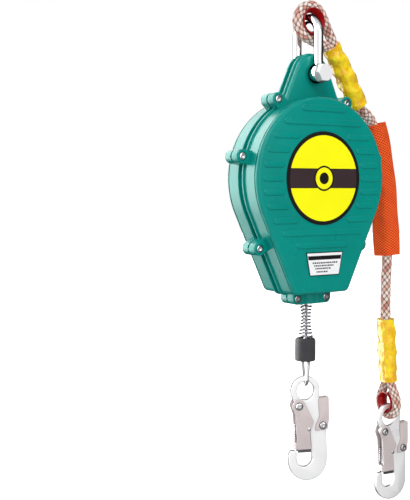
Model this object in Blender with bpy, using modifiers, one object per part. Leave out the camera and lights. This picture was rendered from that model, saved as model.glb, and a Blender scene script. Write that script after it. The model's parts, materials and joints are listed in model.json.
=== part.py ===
"""Self retracting lifeline: a housing with a cable drum and brake, its shackle, anchor lanyard and two hooks.

Metres, +Z up. +X is the right of someone facing the front cover and +Y points away from them. Everything is
drawn about the point where the drum's axis crosses the parting plane between the covers. The whole is then
moved so that the origin is where that axis meets the housing's flat back.
"""

import math

import bmesh
import bpy
from mathutils import Matrix, Vector

# Housing
BODY_RADIUS = 0.096
BODY_FLOOR = -0.137
SIDE_LEAN = math.radians(25.5)
CORNER_RADIUS = 0.008
FRONT_DEPTH = 0.032
REAR_DEPTH = 0.031
COVER_WALL = 0.003
RIM_BEVEL = 0.004
MATING_GAP = 0.001
EAR_CENTRE = (0.0, 0.121)
EAR_RADIUS = 0.026
EAR_SIDE = math.radians(24)
EAR_BASE = 0.060
EAR_DEPTH = 0.012
LIP_OUTSET = 0.0022
LIP_NEAR, LIP_FAR = 0.0035, 0.006
LUG_RADIUS = 0.008
LUG_DEPTH = 0.013
UPPER_LUGS = ((0.103, 0.0249), (0.0523, 0.0922), (0.0783, -0.082))
FLANGE_LUG = (0.022, -0.1446)
FLANGE_RADIUS = 0.007
SCREW_HEAD_RADIUS = 0.0045
SCREW_SHANK_RADIUS = 0.002
COUNTERBORE_RADIUS = 0.0052
COUNTERBORE_DEPTH = 0.003
SCREW_HOLE_RADIUS = 0.0023
NECK_RADIUS = 0.015
NECK_BORE = 0.013
NECK_TOP, NECK_END = -0.130, -0.151
BOLT_HEIGHT = 0.124
BOLT_RADIUS = 0.006
DECAL_RADIUS = 0.0553
PLATE_THICKNESS = 0.0006
GAP = 0.0003

# Inside the housing
SHELL_INSET = 0.004
SHELL_WALL = 0.0015
FRONT_SHELL_FACE = -0.0275
REAR_SHELL_FACE = 0.024
SHAFT_RADIUS = 0.008
JOURNAL_RADIUS = 0.006
DRUM_RADIUS = 0.084
HUB_RADIUS = 0.046
FLANGE_NEAR, FLANGE_FAR = 0.011, 0.013
WOUND_RADIUS = 0.071
CABLE_RADIUS = 0.0025
RATCHET_TEETH = 12
RATCHET_TIP, RATCHET_ROOT = 0.0305, 0.025
RATCHET_PHASE = math.radians(6.5)
RATCHET_FRONT, RATCHET_BACK = -0.020, -0.015
PAWL_PIVOT = 0.048
PAWL_FRONT, PAWL_BACK = -0.019, -0.014
PAWL_PIN_RADIUS = 0.003

# Cable end
GUIDE_RADIUS = 0.0125
GUIDE_TOP = -0.112
GUIDE_STEP = -0.138
GUIDE_END = -0.150
FERRULE_RADIUS = 0.0125
FERRULE_TOP, FERRULE_END = -0.195, -0.223
FERRULE_BORE = 0.0065
CABLE_EYE_RADIUS = 0.0067

# Shackle
SHACKLE_ROD = 0.0055
SHACKLE_HALF_WIDTH = 0.0205
SHACKLE_SHOULDER = 0.1705
SHACKLE_EYE_RADIUS = 0.0115
SHACKLE_EYE_HALF = 0.006
HEX_RADIUS = 0.0110

# Anchor lanyard
ROPE_RADIUS = 0.007
EYE_ROPE_RADIUS = 0.0065
SLEEVE_RADIUS = 0.010
UPPER_EYE = Vector((0.004, 0.0, 0.1875))
LOWER_EYE = Vector((0.1545, 0.014, -0.298))
LANYARD_Y = 0.014
UPPER_SPLICE = (Vector((0.041, 0.005, 0.162)), Vector((0.093, 0.012, 0.093)))
LOWER_SPLICE = (Vector((0.147, LANYARD_Y, -0.185)), Vector((0.1536, LANYARD_Y, -0.269)))
UPPER_BEND = Vector((0.119, LANYARD_Y, 0.070))
LOWER_BEND = Vector((0.148, LANYARD_Y, -0.100))
WEAR_HALF_WIDTH, WEAR_HALF_THICKNESS = 0.017, 0.009
WEAR_ACROSS = Vector((0.782, -0.622, 0.0)).normalized()

# Snap hooks: the frame's origin is the middle of the ring's top bar, local X right, local Y back, local Z up
CABLE_HOOK = Vector((0.0, 0.0, -0.2458))
CABLE_HOOK_YAW = math.radians(-20)
LANYARD_HOOK = Vector((0.1545, 0.014, -0.3033))
LANYARD_HOOK_YAW = math.radians(-6)
HOOK_HALF = 0.003
HOOK_CHAMFER = 0.0012
HOOK_EYE = (0.0, -0.015)
HOOK_EYE_RADIUS = 0.0114
HOOK_EYE_OUTER = 0.0184
GATE_PIVOT = (-0.0092, -0.0333)
LEVER_PIVOT = (0.0223, -0.059)
LINK_RIVET = (0.0036, -0.0626)
GATE_NEAR, GATE_FAR = 0.0049, 0.0061
LEVER_NEAR, LEVER_FAR = 0.0033, 0.0045
RIVET_RADIUS = 0.003
RIVET_HOLE = 0.0033

XZ_PLANE = Matrix.Rotation(math.pi / 2, 4, "X")
XY_PLANE = Matrix.Identity(4)
ABOUT_Y = Matrix.Rotation(-math.pi / 2, 4, "X")
ABOUT_Z = Matrix.Identity(4)


# ---------------------------------------------------------------- scene


def clear_scene():
    for obj in list(bpy.data.objects):
        bpy.data.objects.remove(obj, do_unlink=True)


def new_collection(name):
    made = bpy.data.collections.new(name)
    bpy.context.scene.collection.children.link(made)
    return made


def new_material(name, colour, roughness, metallic):
    made = bpy.data.materials.new(name)
    made.use_nodes = True
    shader = made.node_tree.nodes["Principled BSDF"]
    shader.inputs["Base Color"].default_value = (*colour, 1.0)
    shader.inputs["Roughness"].default_value = roughness
    shader.inputs["Metallic"].default_value = metallic
    made.diffuse_color = (*colour, 1.0)
    return made


def new_body(name, place, parent=None):
    """An empty on a joint's axis, which carries the pieces that move together."""
    empty = bpy.data.objects.new(name, None)
    empty.empty_display_size = 0.02
    PARTS.objects.link(empty)
    empty.matrix_world = place
    if parent:
        attach(empty, parent)
    return empty


def attach(obj, parent):
    """Parents without moving."""
    bpy.context.view_layer.update()
    obj.parent = parent
    obj.matrix_parent_inverse = parent.matrix_world.inverted()


def piece(obj, material, body):
    """Turns a finished mesh into a named part of one body."""
    CUTTERS.objects.unlink(obj)
    PARTS.objects.link(obj)
    obj.hide_render = False
    obj.display_type = "TEXTURED"
    obj.data.name = obj.name
    obj.data.materials.clear()
    obj.data.materials.append(material)
    obj.data.shade_smooth()
    obj.data.set_sharp_from_angle(angle=math.radians(35))
    attach(obj, body)
    return obj


# ---------------------------------------------------------------- shapes


def arc(centre, radius, start, end, steps):
    """Points on a circle from start to end, in degrees, both ends included."""
    turns = [math.radians(start + (end - start) * i / steps) for i in range(steps + 1)]
    return [(centre[0] + radius * math.cos(t), centre[1] + radius * math.sin(t)) for t in turns]


def circle(centre, radius, steps, turn=0.0):
    return arc(centre, radius, turn, turn + 360, steps)[:-1]


def helper(name, mesh):
    """A new object, kept with the cutters until it becomes a piece."""
    obj = bpy.data.objects.new(name, mesh)
    obj.hide_render = True
    obj.display_type = "WIRE"
    CUTTERS.objects.link(obj)
    return obj


def evaluated_mesh(obj):
    bpy.context.view_layer.update()
    graph = bpy.context.evaluated_depsgraph_get()
    return bpy.data.meshes.new_from_object(obj.evaluated_get(graph))


def clean(mesh, place=XY_PLANE):
    """Welds the loose caps, moves the mesh into place and turns its faces outwards."""
    bm = bmesh.new()
    bm.from_mesh(mesh)
    bmesh.ops.remove_doubles(bm, verts=bm.verts, dist=1e-6)
    bmesh.ops.transform(bm, matrix=place, verts=bm.verts)
    bmesh.ops.recalc_face_normals(bm, faces=bm.faces)
    bm.to_mesh(mesh)
    bm.free()
    return mesh


def curve_to_mesh(name, curve, place):
    guide = helper(name + "_guide", curve)
    mesh = clean(evaluated_mesh(guide), place)
    bpy.data.objects.remove(guide, do_unlink=True)
    bpy.data.curves.remove(curve)
    return helper(name, mesh)


def prism(name, outline, near, far, holes=(), plane=XZ_PLANE):
    """A flat outline extruded from near to far: along Y in the XZ plane, or along Z in the XY plane."""
    curve = bpy.data.curves.new(name, "CURVE")
    curve.dimensions = "2D"
    curve.fill_mode = "BOTH"
    curve.extrude = abs(far - near) / 2
    for ring in (outline, *holes):
        spline = curve.splines.new("POLY")
        spline.points.add(len(ring) - 1)
        for point, (x, y) in zip(spline.points, ring):
            point.co = (x, y, 0.0, 1.0)
        spline.use_cyclic_u = True
    middle = (near + far) / 2
    along = Vector((0.0, middle, 0.0)) if plane is XZ_PLANE else Vector((0.0, 0.0, middle))
    return curve_to_mesh(name, curve, Matrix.Translation(along) @ plane)


def rod(name, start, end, radius, steps=12, far_radius=None):
    """A cylinder or cone between two points."""
    start, end = Vector(start), Vector(end)
    axis = end - start
    turn = axis.to_track_quat("Z", "Y").to_matrix().to_4x4()
    place = Matrix.Translation((start + end) / 2) @ turn
    bm = bmesh.new()
    far = radius if far_radius is None else far_radius
    bmesh.ops.create_cone(
        bm, cap_ends=True, segments=steps, radius1=radius, radius2=far, depth=axis.length, matrix=place
    )
    mesh = bpy.data.meshes.new(name)
    bm.to_mesh(mesh)
    bm.free()
    return helper(name, mesh)


def turned(name, profile, place=ABOUT_Y, steps=32):
    """A closed profile of (radius, height) points, turned about the place's own Z axis with a Screw."""
    mesh = bpy.data.meshes.new(name)
    points = [(r, 0.0, h) for r, h in profile]
    edges = [(i, (i + 1) % len(points)) for i in range(len(points))]
    mesh.from_pydata(points, edges, [])
    lathe = helper(name + "_lathe", mesh)
    screw = lathe.modifiers.new("Screw", "SCREW")
    screw.steps = steps
    screw.render_steps = steps
    screw.use_merge_vertices = True
    screw.merge_threshold = 1e-6
    solid = clean(evaluated_mesh(lathe), place)
    bpy.data.objects.remove(lathe, do_unlink=True)
    bpy.data.meshes.remove(mesh)
    return helper(name, solid)


def tube(name, points, radius, resolution=2, cyclic=False):
    """A round bar along a line of points."""
    curve = bpy.data.curves.new(name, "CURVE")
    curve.dimensions = "3D"
    curve.bevel_depth = radius
    curve.bevel_resolution = resolution
    curve.use_fill_caps = not cyclic
    spline = curve.splines.new("POLY")
    spline.points.add(len(points) - 1)
    for point, co in zip(spline.points, points):
        point.co = (*co, 1.0)
    spline.use_cyclic_u = cyclic
    return curve_to_mesh(name, curve, XY_PLANE)


def smooth_path(points, steps=4):
    """A Catmull-Rom line through the points."""
    points = [Vector(p) for p in points]
    ends = [2 * points[0] - points[1], *points, 2 * points[-1] - points[-2]]
    line = []
    for a, b, c, d in zip(ends, ends[1:], ends[2:], ends[3:]):
        for i in range(steps):
            t = i / steps
            cubic = (3 * b - 3 * c + d - a) * t**3
            line.append(0.5 * (2 * b + (c - a) * t + (2 * a - 5 * b + 4 * c - d) * t**2 + cubic))
    return [*line, points[-1]]


def coil_points(start, axis, length, radius_at, turns, per_turn):
    """A helix about the line from start along axis. radius_at gives its radius, from t = 0 to t = 1 at its end."""
    axis = Vector(axis).normalized()
    side = axis.orthogonal().normalized()
    up = axis.cross(side)
    points = []
    for i in range(turns * per_turn + 1):
        t = i / (turns * per_turn)
        angle = 2 * math.pi * i / per_turn
        out = side * math.cos(angle) + up * math.sin(angle)
        points.append(Vector(start) + axis * length * t + out * radius_at(t))
    return points


def loft(name, path, across, half_width, half_thickness, corner_steps=3):
    """A flattened sleeve of rounded section that follows a path, its wide side along across."""
    corner = half_thickness * 0.55
    bm = bmesh.new()
    rings = []
    for i, centre in enumerate(path):
        along = (path[min(i + 1, len(path) - 1)] - path[max(i - 1, 0)]).normalized()
        wide = (across - along * across.dot(along)).normalized()
        thin = along.cross(wide)
        section = []
        for quarter, (sx, sy) in enumerate(((1, 1), (-1, 1), (-1, -1), (1, -1))):
            middle = (sx * (half_width - corner), sy * (half_thickness - corner))
            section += arc(middle, corner, 90 * quarter, 90 * quarter + 90, corner_steps)
        rings.append([bm.verts.new(centre + wide * a + thin * b) for a, b in section])
    count = len(rings[0])
    for ring, after in zip(rings, rings[1:]):
        for i in range(count):
            j = (i + 1) % count
            bm.faces.new((ring[i], ring[j], after[j], after[i]))
    bm.faces.new(rings[0])
    bm.faces.new(rings[-1])
    mesh = bpy.data.meshes.new(name)
    bm.to_mesh(mesh)
    bm.free()
    return helper(name, clean(mesh))


def bevel_rim(obj, levels, width, segments=2):
    """Rounds the edges round a prism's end faces. levels are the Y values of those faces."""
    bm = bmesh.new()
    bm.from_mesh(obj.data)
    bmesh.ops.dissolve_limit(bm, angle_limit=math.radians(1), verts=bm.verts, edges=bm.edges)
    rim = []
    for edge in bm.edges:
        on_level = any(all(abs(v.co.y - y) < 1e-6 for v in edge.verts) for y in levels)
        if on_level and edge.calc_face_angle(0.0) > math.radians(45):
            rim.append(edge)
    bmesh.ops.bevel(bm, geom=rim, offset=width, segments=segments, profile=0.5, affect="EDGES")
    bm.to_mesh(obj.data)
    bm.free()
    return obj


def closed(mesh):
    bm = bmesh.new()
    bm.from_mesh(mesh)
    whole = all(edge.is_manifold for edge in bm.edges)
    bm.free()
    return whole


def combine(obj, others, operation):
    """Joins or cuts with Booleans, and removes what was used. Where flat faces share a plane and the exact
    solver leaves an open edge, the manifold solver does that step."""
    for other in others:
        modifier = obj.modifiers.new(other.name, "BOOLEAN")
        modifier.operation = operation
        modifier.object = other
        mesh = evaluated_mesh(obj)
        if not closed(mesh):
            modifier.solver = "MANIFOLD"
            mesh = evaluated_mesh(obj)
        obj.modifiers.clear()
        used = obj.data
        obj.data = mesh
        bpy.data.meshes.remove(used)
        bpy.data.objects.remove(other, do_unlink=True)
    return obj


def fuse(obj, *others):
    return combine(obj, others, "UNION")


def carve(obj, *others):
    return combine(obj, others, "DIFFERENCE")


def both_sides(points):
    return [(sign * x, z) for x, z in points for sign in (-1, 1)]


# ---------------------------------------------------------------- housing


def body_outline(inset=0.0):
    """A round top whose sides lean in to a flat floor with rounded corners."""
    radius, floor = BODY_RADIUS - inset, BODY_FLOOR + inset
    corner = CORNER_RADIUS - inset
    lean = math.degrees(SIDE_LEAN)
    x = (radius - corner + (floor + corner) * math.sin(SIDE_LEAN)) / math.cos(SIDE_LEAN)
    right = arc((x, floor + corner), corner, -90, -lean, 3)
    top = arc((0, 0), radius, -lean, 180 + lean, 32)
    left = arc((-x, floor + corner), corner, 180 + lean, 270, 3)
    return right + top + left


def ear_outline(inset=0.0, base=EAR_BASE):
    """The hanging ear: a round top on flanks that spread down to its base."""
    radius = EAR_RADIUS - inset
    drop = EAR_CENTRE[1] - base
    half = (radius + drop * math.sin(EAR_SIDE)) / math.cos(EAR_SIDE)
    lean = math.degrees(EAR_SIDE)
    return [(-half, base), (half, base), *arc(EAR_CENTRE, radius, lean, 180 - lean, 10)]


def lug_outline(centre):
    """A round lug with a web that runs back into the housing's side."""
    out = Vector((centre[0], centre[1] * 0.55)).normalized()
    angle = math.degrees(math.atan2(out.y, out.x))
    side = Vector((-out.y, out.x)) * LUG_RADIUS * 1.05
    root = Vector(centre) - out * (LUG_RADIUS + 0.006)
    return [*arc(centre, LUG_RADIUS, angle - 90, angle + 90, 8), tuple(root + side), tuple(root - side)]


def bottom_flange_outline():
    """The strip under the floor that ends in the two lowest lugs."""
    x, z = FLANGE_LUG
    right = arc((x, z), FLANGE_RADIUS, -90, 0, 5)
    left = arc((-x, z), FLANGE_RADIUS, 180, 270, 5)
    top = BODY_FLOOR + 0.002
    return [*right, (x + FLANGE_RADIUS, top), (-x - FLANGE_RADIUS, top), *left]


def screw_places():
    return both_sides((*UPPER_LUGS, FLANGE_LUG))


def cover(name, side, depth):
    """One half of the housing. side is -1 for the front and 1 for the rear."""
    near, far = side * MATING_GAP, side * depth
    shell = bevel_rim(prism(name, body_outline(), near, far), [far], RIM_BEVEL)
    ear_far = side * EAR_DEPTH
    fuse(shell, bevel_rim(prism("ear", ear_outline(), near, ear_far), [ear_far], 0.002, 1))
    lip = (side * LIP_NEAR, side * LIP_FAR)
    fuse(shell, prism("lip", body_outline(-LIP_OUTSET), *lip))
    fuse(shell, prism("ear_lip", ear_outline(-LIP_OUTSET), *lip))
    lug_far = side * LUG_DEPTH
    for x, z in both_sides(UPPER_LUGS):
        fuse(shell, bevel_rim(prism("lug", lug_outline((x, z)), near, lug_far), [lug_far], 0.001, 1))
    flange = prism("flange", bottom_flange_outline(), near, lug_far)
    fuse(shell, bevel_rim(flange, [lug_far], 0.001, 1))
    half_neck = arc((0, near), NECK_RADIUS, 0, side * 180, 12)
    fuse(shell, prism("neck", half_neck, NECK_TOP, NECK_END, plane=XY_PLANE))
    hollow = side * (depth - COVER_WALL)
    carve(shell, prism("hollow", body_outline(COVER_WALL), -near, hollow))
    carve(shell, prism("ear_hollow", ear_outline(COVER_WALL), -near * 1.1, side * (EAR_DEPTH - COVER_WALL)))
    carve(shell, rod("neck_bore", (0, 0, NECK_END - 0.01), (0, 0, NECK_TOP + 0.01), NECK_BORE, 24))
    carve(shell, rod("bolt_hole", (0, -0.05, BOLT_HEIGHT), (0, 0.05, BOLT_HEIGHT), BOLT_RADIUS + 0.0006, 20))
    for x, z in screw_places():
        if side < 0:
            sink = -LUG_DEPTH + COUNTERBORE_DEPTH
            carve(shell, rod("bore", (x, -0.02, z), (x, 0.0, z), SCREW_HOLE_RADIUS))
            carve(shell, rod("sink", (x, -0.02, z), (x, sink, z), COUNTERBORE_RADIUS))
        else:
            carve(shell, rod("bore", (x, 0.0, z), (x, 0.0105, z), SCREW_HOLE_RADIUS))
    return piece(shell, TEAL, HOUSING)


def parting_gasket():
    half = 0.0007
    seal = prism("parting_gasket", body_outline(-GAP), -half, half)
    fuse(seal, prism("ear_seal", ear_outline(-GAP), -half, half))
    carve(seal, prism("inside", body_outline(COVER_WALL), -0.01, 0.01))
    carve(seal, prism("ear_inside", ear_outline(COVER_WALL), -0.011, 0.011))
    carve(seal, rod("outlet", (0, 0, NECK_END - 0.01), (0, 0, NECK_TOP + 0.01), NECK_BORE, 24))
    piece(seal, BLACK_RUBBER, HOUSING)


def cover_screw(number, x, z):
    """A socket head cap screw that pulls the covers together."""
    seat = -LUG_DEPTH + COUNTERBORE_DEPTH - GAP
    front = -LUG_DEPTH
    name = f"cover_screw_{number}"
    screw = rod(name, (x, front, z), (x, seat, z), SCREW_HEAD_RADIUS, 12)
    fuse(screw, rod("shank", (x, front + 0.001, z), (x, 0.0095, z), SCREW_SHANK_RADIUS, 8))
    carve(screw, rod("socket", (x, front - 0.001, z), (x, front + 0.0015, z), 0.0023, 6))
    piece(screw, BRIGHT_STEEL, HOUSING)


def inner_shell(name, side, face):
    """A pressed steel pan that carries the shaft and, through its ear plate, the shackle bolt."""
    near = side * (MATING_GAP + 0.0002)
    pan = prism(name, body_outline(SHELL_INSET), near, face)
    carve(pan, prism("room", body_outline(SHELL_INSET + SHELL_WALL), -near, face - side * SHELL_WALL))
    fuse(pan, prism("plate", ear_outline(SHELL_INSET, 0.082), near, near + side * 0.003))
    carve(pan, rod("bolt_hole", (0, -0.05, BOLT_HEIGHT), (0, 0.05, BOLT_HEIGHT), BOLT_RADIUS + 0.0004, 20))
    carve(pan, rod("outlet", (0, 0, -0.145), (0, 0, -0.110), NECK_BORE + 0.0002, 24))
    carve(pan, rod("shaft_hole", (0, 0, 0), (0, face * 1.2, 0), JOURNAL_RADIUS + 0.0004, 16))
    piece(pan, PRESSED_STEEL, HOUSING)


def cable_guide():
    """The outlet bush: a flared throat for the cable over a pocket for the buffer spring."""
    throat, pocket = 0.0032, 0.0115
    profile = [
        (GUIDE_RADIUS, GUIDE_TOP - 0.004),
        (GUIDE_RADIUS, GUIDE_END),
        (pocket, GUIDE_END),
        (pocket, GUIDE_STEP),
        (throat, GUIDE_STEP),
        (throat, GUIDE_TOP - 0.006),
        (0.006, GUIDE_TOP - 0.0005),
        (0.009, GUIDE_TOP - 0.0005),
    ]
    piece(turned("cable_guide", profile, ABOUT_Z, 24), BLACK_PLASTIC, HOUSING)


def front_plates():
    back = -FRONT_DEPTH - GAP
    front = back - PLATE_THICKNESS
    decal = prism("front_decal", circle((0, 0), DECAL_RADIUS, 48), front, back)
    piece(decal, YELLOW_DECAL, HOUSING)
    corners = [(-0.0193, -0.1155), (0.0254, -0.1155), (0.0304, -0.0875), (-0.026, -0.0875)]
    piece(prism("rating_label", corners, front, back), WHITE_LABEL, HOUSING)


def main_shaft():
    """The fixed shaft, whose thin ends sit in the steel pans."""
    front, back = FRONT_SHELL_FACE + SHELL_WALL + GAP, REAR_SHELL_FACE - SHELL_WALL - GAP
    shaft = rod("main_shaft", (0, front, 0), (0, back, 0), SHAFT_RADIUS, 24)
    fuse(shaft, rod("journals", (0, front - 0.0015, 0), (0, back + 0.0015, 0), JOURNAL_RADIUS, 16))
    piece(shaft, GREY_STEEL, HOUSING)


def shaft_nut():
    nut = rod("shaft_nut", (0, -0.0255, 0), (0, -0.0227, 0), 0.0127, 6)
    carve(nut, rod("thread", (0, -0.03, 0), (0, -0.02, 0), SHAFT_RADIUS + GAP, 24))
    piece(nut, GREY_STEEL, HOUSING)


def cable_inner_run():
    """The stretch of cable from the coil to the outlet, tangent to the coil's outermost turn."""
    start = Vector((-0.0548, 0, -0.0495))
    end = Vector((0, 0, GUIDE_TOP + 0.002))
    piece(rod("cable_inner_run", start, end, CABLE_RADIUS, 10), WIRE_ROPE, HOUSING)


def housing():
    cover("front_cover", -1, FRONT_DEPTH)
    cover("rear_cover", 1, REAR_DEPTH)
    parting_gasket()
    for number, (x, z) in enumerate(screw_places(), 1):
        cover_screw(number, x, z)
    inner_shell("front_inner_shell", -1, FRONT_SHELL_FACE)
    inner_shell("rear_inner_shell", 1, REAR_SHELL_FACE)
    cable_guide()
    front_plates()
    main_shaft()
    shaft_nut()
    cable_inner_run()


# ---------------------------------------------------------------- drum and brake


def cable_drum():
    """A hub open at the back for the power spring, between two flanges that hold the cable."""
    bore, hub_inside = 0.0105, 0.043
    profile = [
        (DRUM_RADIUS, FLANGE_FAR),
        (DRUM_RADIUS, FLANGE_NEAR),
        (HUB_RADIUS, FLANGE_NEAR),
        (HUB_RADIUS, -FLANGE_NEAR),
        (DRUM_RADIUS, -FLANGE_NEAR),
        (DRUM_RADIUS, -FLANGE_FAR),
        (bore, -FLANGE_FAR),
        (bore, -FLANGE_NEAR),
        (hub_inside, -FLANGE_NEAR),
        (hub_inside, FLANGE_FAR),
    ]
    piece(turned("cable_drum", profile, steps=32), DRUM_GREY, DRUM)


def wound_cable():
    """The layers of cable on the hub, with a ridge for each turn of the top layer."""
    half, ridges, ridge = FLANGE_NEAR - GAP, 3, 0.0009
    pitch = 2 * half / ridges
    outer = []
    for i in range(ridges):
        low = half - pitch * i
        outer += [(WOUND_RADIUS - ridge, low), (WOUND_RADIUS, low - pitch * 0.35)]
        outer.append((WOUND_RADIUS, low - pitch * 0.65))
    inner = HUB_RADIUS + GAP
    profile = [*outer, (WOUND_RADIUS - ridge, -half), (inner, -half), (inner, half)]
    piece(turned("wound_cable", profile, steps=28), WIRE_ROPE, DRUM)


def mainspring():
    """The spiral power spring, a strip wound inside the hub."""
    inner, outer, strip, turns, per_turn = 0.0125, 0.041, 0.0012, 4, 18
    count = turns * per_turn
    edges = ([], [])
    for i in range(count + 1):
        angle = 2 * math.pi * i / per_turn
        radius = inner + (outer - inner) * i / count
        for edge, r in zip(edges, (radius, radius + strip)):
            edge.append((r * math.cos(angle), r * math.sin(angle)))
    outline = edges[0] + edges[1][::-1]
    piece(prism("mainspring", outline, -0.009, 0.009), SPRING_STEEL, DRUM)


def washer(name, inner, outer, front, back, material, body, steps=24):
    profile = [(outer, back), (outer, front), (inner, front), (inner, back)]
    piece(turned(name, profile, steps=steps), material, body)


def pawl_outline():
    """The pawl about its own pivot: a nose that reaches the ratchet and a heavy tail that swings out."""
    nose = [(-0.0189, -0.021), (-0.0175, -0.010), (-0.0105, 0.001), (-0.005, 0.0075)]
    tail = [(0.004, 0.011), (0.012, 0.009), (0.0155, 0.002), (0.012, -0.005), (0.004, -0.0078)]
    return [*nose, *tail, (-0.007, -0.0125), (-0.0145, -0.020)]


def pawl(number, turn, body):
    """Pawl 1 is above the shaft. Pawl 2 is the same, half a turn round."""
    sign = math.cos(turn)
    outline = [(sign * x, sign * (z + PAWL_PIVOT)) for x, z in pawl_outline()]
    hole = circle((0, sign * PAWL_PIVOT), PAWL_PIN_RADIUS + GAP, 14)
    piece(prism(f"pawl_{number}", outline, PAWL_FRONT, PAWL_BACK, [hole]), DARK_STEEL, body)
    pin_z = sign * PAWL_PIVOT
    pin = rod(f"pawl_pin_{number}", (0, -0.020, pin_z), (0, -FLANGE_FAR - GAP, pin_z), PAWL_PIN_RADIUS, 14)
    piece(pin, BRIGHT_STEEL, DRUM)
    start = Vector((sign * 0.019, -0.0165, sign * 0.047))
    line = coil_points(start, (sign * 0.8, 0, -sign * 0.6), 0.011, lambda t: 0.0018, 4, 6)
    piece(tube(f"pawl_spring_{number}", line, 0.0004, 0), SPRING_STEEL, DRUM)


def ratchet_wheel():
    """Each tooth has a radial face that stops a pawl, and a ramp that falls away from it."""
    outline = []
    for tooth in range(RATCHET_TEETH):
        face = RATCHET_PHASE + 2 * math.pi * tooth / RATCHET_TEETH
        for radius, lead in ((RATCHET_ROOT, -0.004), (RATCHET_TIP, 0.0), (RATCHET_TIP - 0.0008, 0.06)):
            outline.append((radius * math.cos(face + lead), radius * math.sin(face + lead)))
    hole = circle((0, 0), SHAFT_RADIUS + GAP, 24)
    piece(prism("ratchet_wheel", outline, RATCHET_FRONT, RATCHET_BACK, [hole]), GREY_STEEL, RATCHET)


def drum_and_brake():
    cable_drum()
    wound_cable()
    mainspring()
    washer("spring_cover", 0.0105, 0.050, 0.0133, 0.0148, PRESSED_STEEL, DRUM, 32)
    washer("drum_bush_front", SHAFT_RADIUS + GAP, 0.0102, -0.0142, -0.0080, BRONZE, DRUM)
    washer("drum_bush_rear", SHAFT_RADIUS + GAP, 0.0102, 0.0093, 0.0160, BRONZE, DRUM)
    pawl(1, 0.0, PAWL_1)
    pawl(2, math.pi, PAWL_2)
    ratchet_wheel()
    washer("friction_disc", SHAFT_RADIUS + GAP, 0.022, -0.0224, -0.0203, FRICTION_LINING, RATCHET)


# ---------------------------------------------------------------- shackle


def shackle():
    y = SHACKLE_HALF_WIDTH
    crown = arc((0, SHACKLE_SHOULDER), y, 0, 180, 16)
    path = [(0, y, BOLT_HEIGHT + 0.006), *[(0, a, b) for a, b in crown], (0, -y, BOLT_HEIGHT + 0.006)]
    bow = tube("shackle_bow", path, SHACKLE_ROD, 4)
    for side in (-1, 1):
        ends = [(0, side * y + offset, BOLT_HEIGHT) for offset in (-SHACKLE_EYE_HALF, SHACKLE_EYE_HALF)]
        fuse(bow, rod("eye", *ends, SHACKLE_EYE_RADIUS, 24))
    carve(bow, rod("eye_hole", (0, -0.05, BOLT_HEIGHT), (0, 0.05, BOLT_HEIGHT), BOLT_RADIUS + GAP, 20))
    piece(bow, CHROME, SHACKLE)
    outside = y + SHACKLE_EYE_HALF + GAP
    bolt = rod("shackle_bolt", (0, -outside - 0.008, BOLT_HEIGHT), (0, -outside, BOLT_HEIGHT), HEX_RADIUS, 6)
    fuse(bolt, rod("shank", (0, -outside - 0.004, BOLT_HEIGHT), (0, 0.039, BOLT_HEIGHT), BOLT_RADIUS, 20))
    piece(bolt, CHROME, SHACKLE)
    nut = rod("shackle_nut", (0, outside, BOLT_HEIGHT), (0, outside + 0.010, BOLT_HEIGHT), HEX_RADIUS, 6)
    carve(nut, rod("thread", (0, 0.02, BOLT_HEIGHT), (0, 0.05, BOLT_HEIGHT), BOLT_RADIUS + GAP, 20))
    piece(nut, CHROME, SHACKLE)


# ---------------------------------------------------------------- lanyard


def thimble(name, centre, axis, hole, groove, rope, body):
    """A grooved ring that lines a rope eye. Its hole flares towards both rims."""
    turn = Vector(axis).to_track_quat("Z", "Y").to_matrix().to_4x4()
    seat = rope + 0.0004
    half, lip, flare = seat * 0.88, 0.0022, 0.0040
    channel = arc((groove + seat, 0), seat, 180 - 62, 180 + 62, 6)
    inside = []
    for i in range(5):
        h = (half + lip) * (i / 2 - 1)
        inside.append((hole + flare * (i / 2 - 1) ** 2, h))
    profile = [(channel[0][0], half + lip), *channel, (channel[-1][0], -half - lip), *inside]
    piece(turned(name, profile, Matrix.Translation(centre) @ turn, 20), RED_THIMBLE, body)
    return groove + seat


def eye_rope(name, centre, axis, radius, path):
    """The rope ring round a thimble, joined to the rope that leaves it."""
    turn = Vector(axis).to_track_quat("Z", "Y").to_matrix().to_4x4()
    place = Matrix.Translation(centre) @ turn
    ring = [place @ Vector((x, y, 0)) for x, y in circle((0, 0), radius, 24)]
    rope = tube(name, ring, EYE_ROPE_RADIUS, 2, cyclic=True)
    return fuse(rope, tube("standing_rope", path, ROPE_RADIUS, 2))


def splice_sleeve(name, ends, body):
    """A straight moulded sleeve over the tucked end of the rope."""
    start, end = ends
    length = (end - start).length
    turn = (end - start).to_track_quat("Z", "Y").to_matrix().to_4x4()
    bore = ROPE_RADIUS + GAP
    profile = [
        (SLEEVE_RADIUS - 0.001, length),
        (SLEEVE_RADIUS, length - 0.003),
        (SLEEVE_RADIUS, 0.003),
        (SLEEVE_RADIUS - 0.001, 0.0),
        (bore, 0.0),
        (bore, length),
    ]
    piece(turned(name, profile, Matrix.Translation(start) @ turn, 16), YELLOW_SLEEVE, body)


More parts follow.
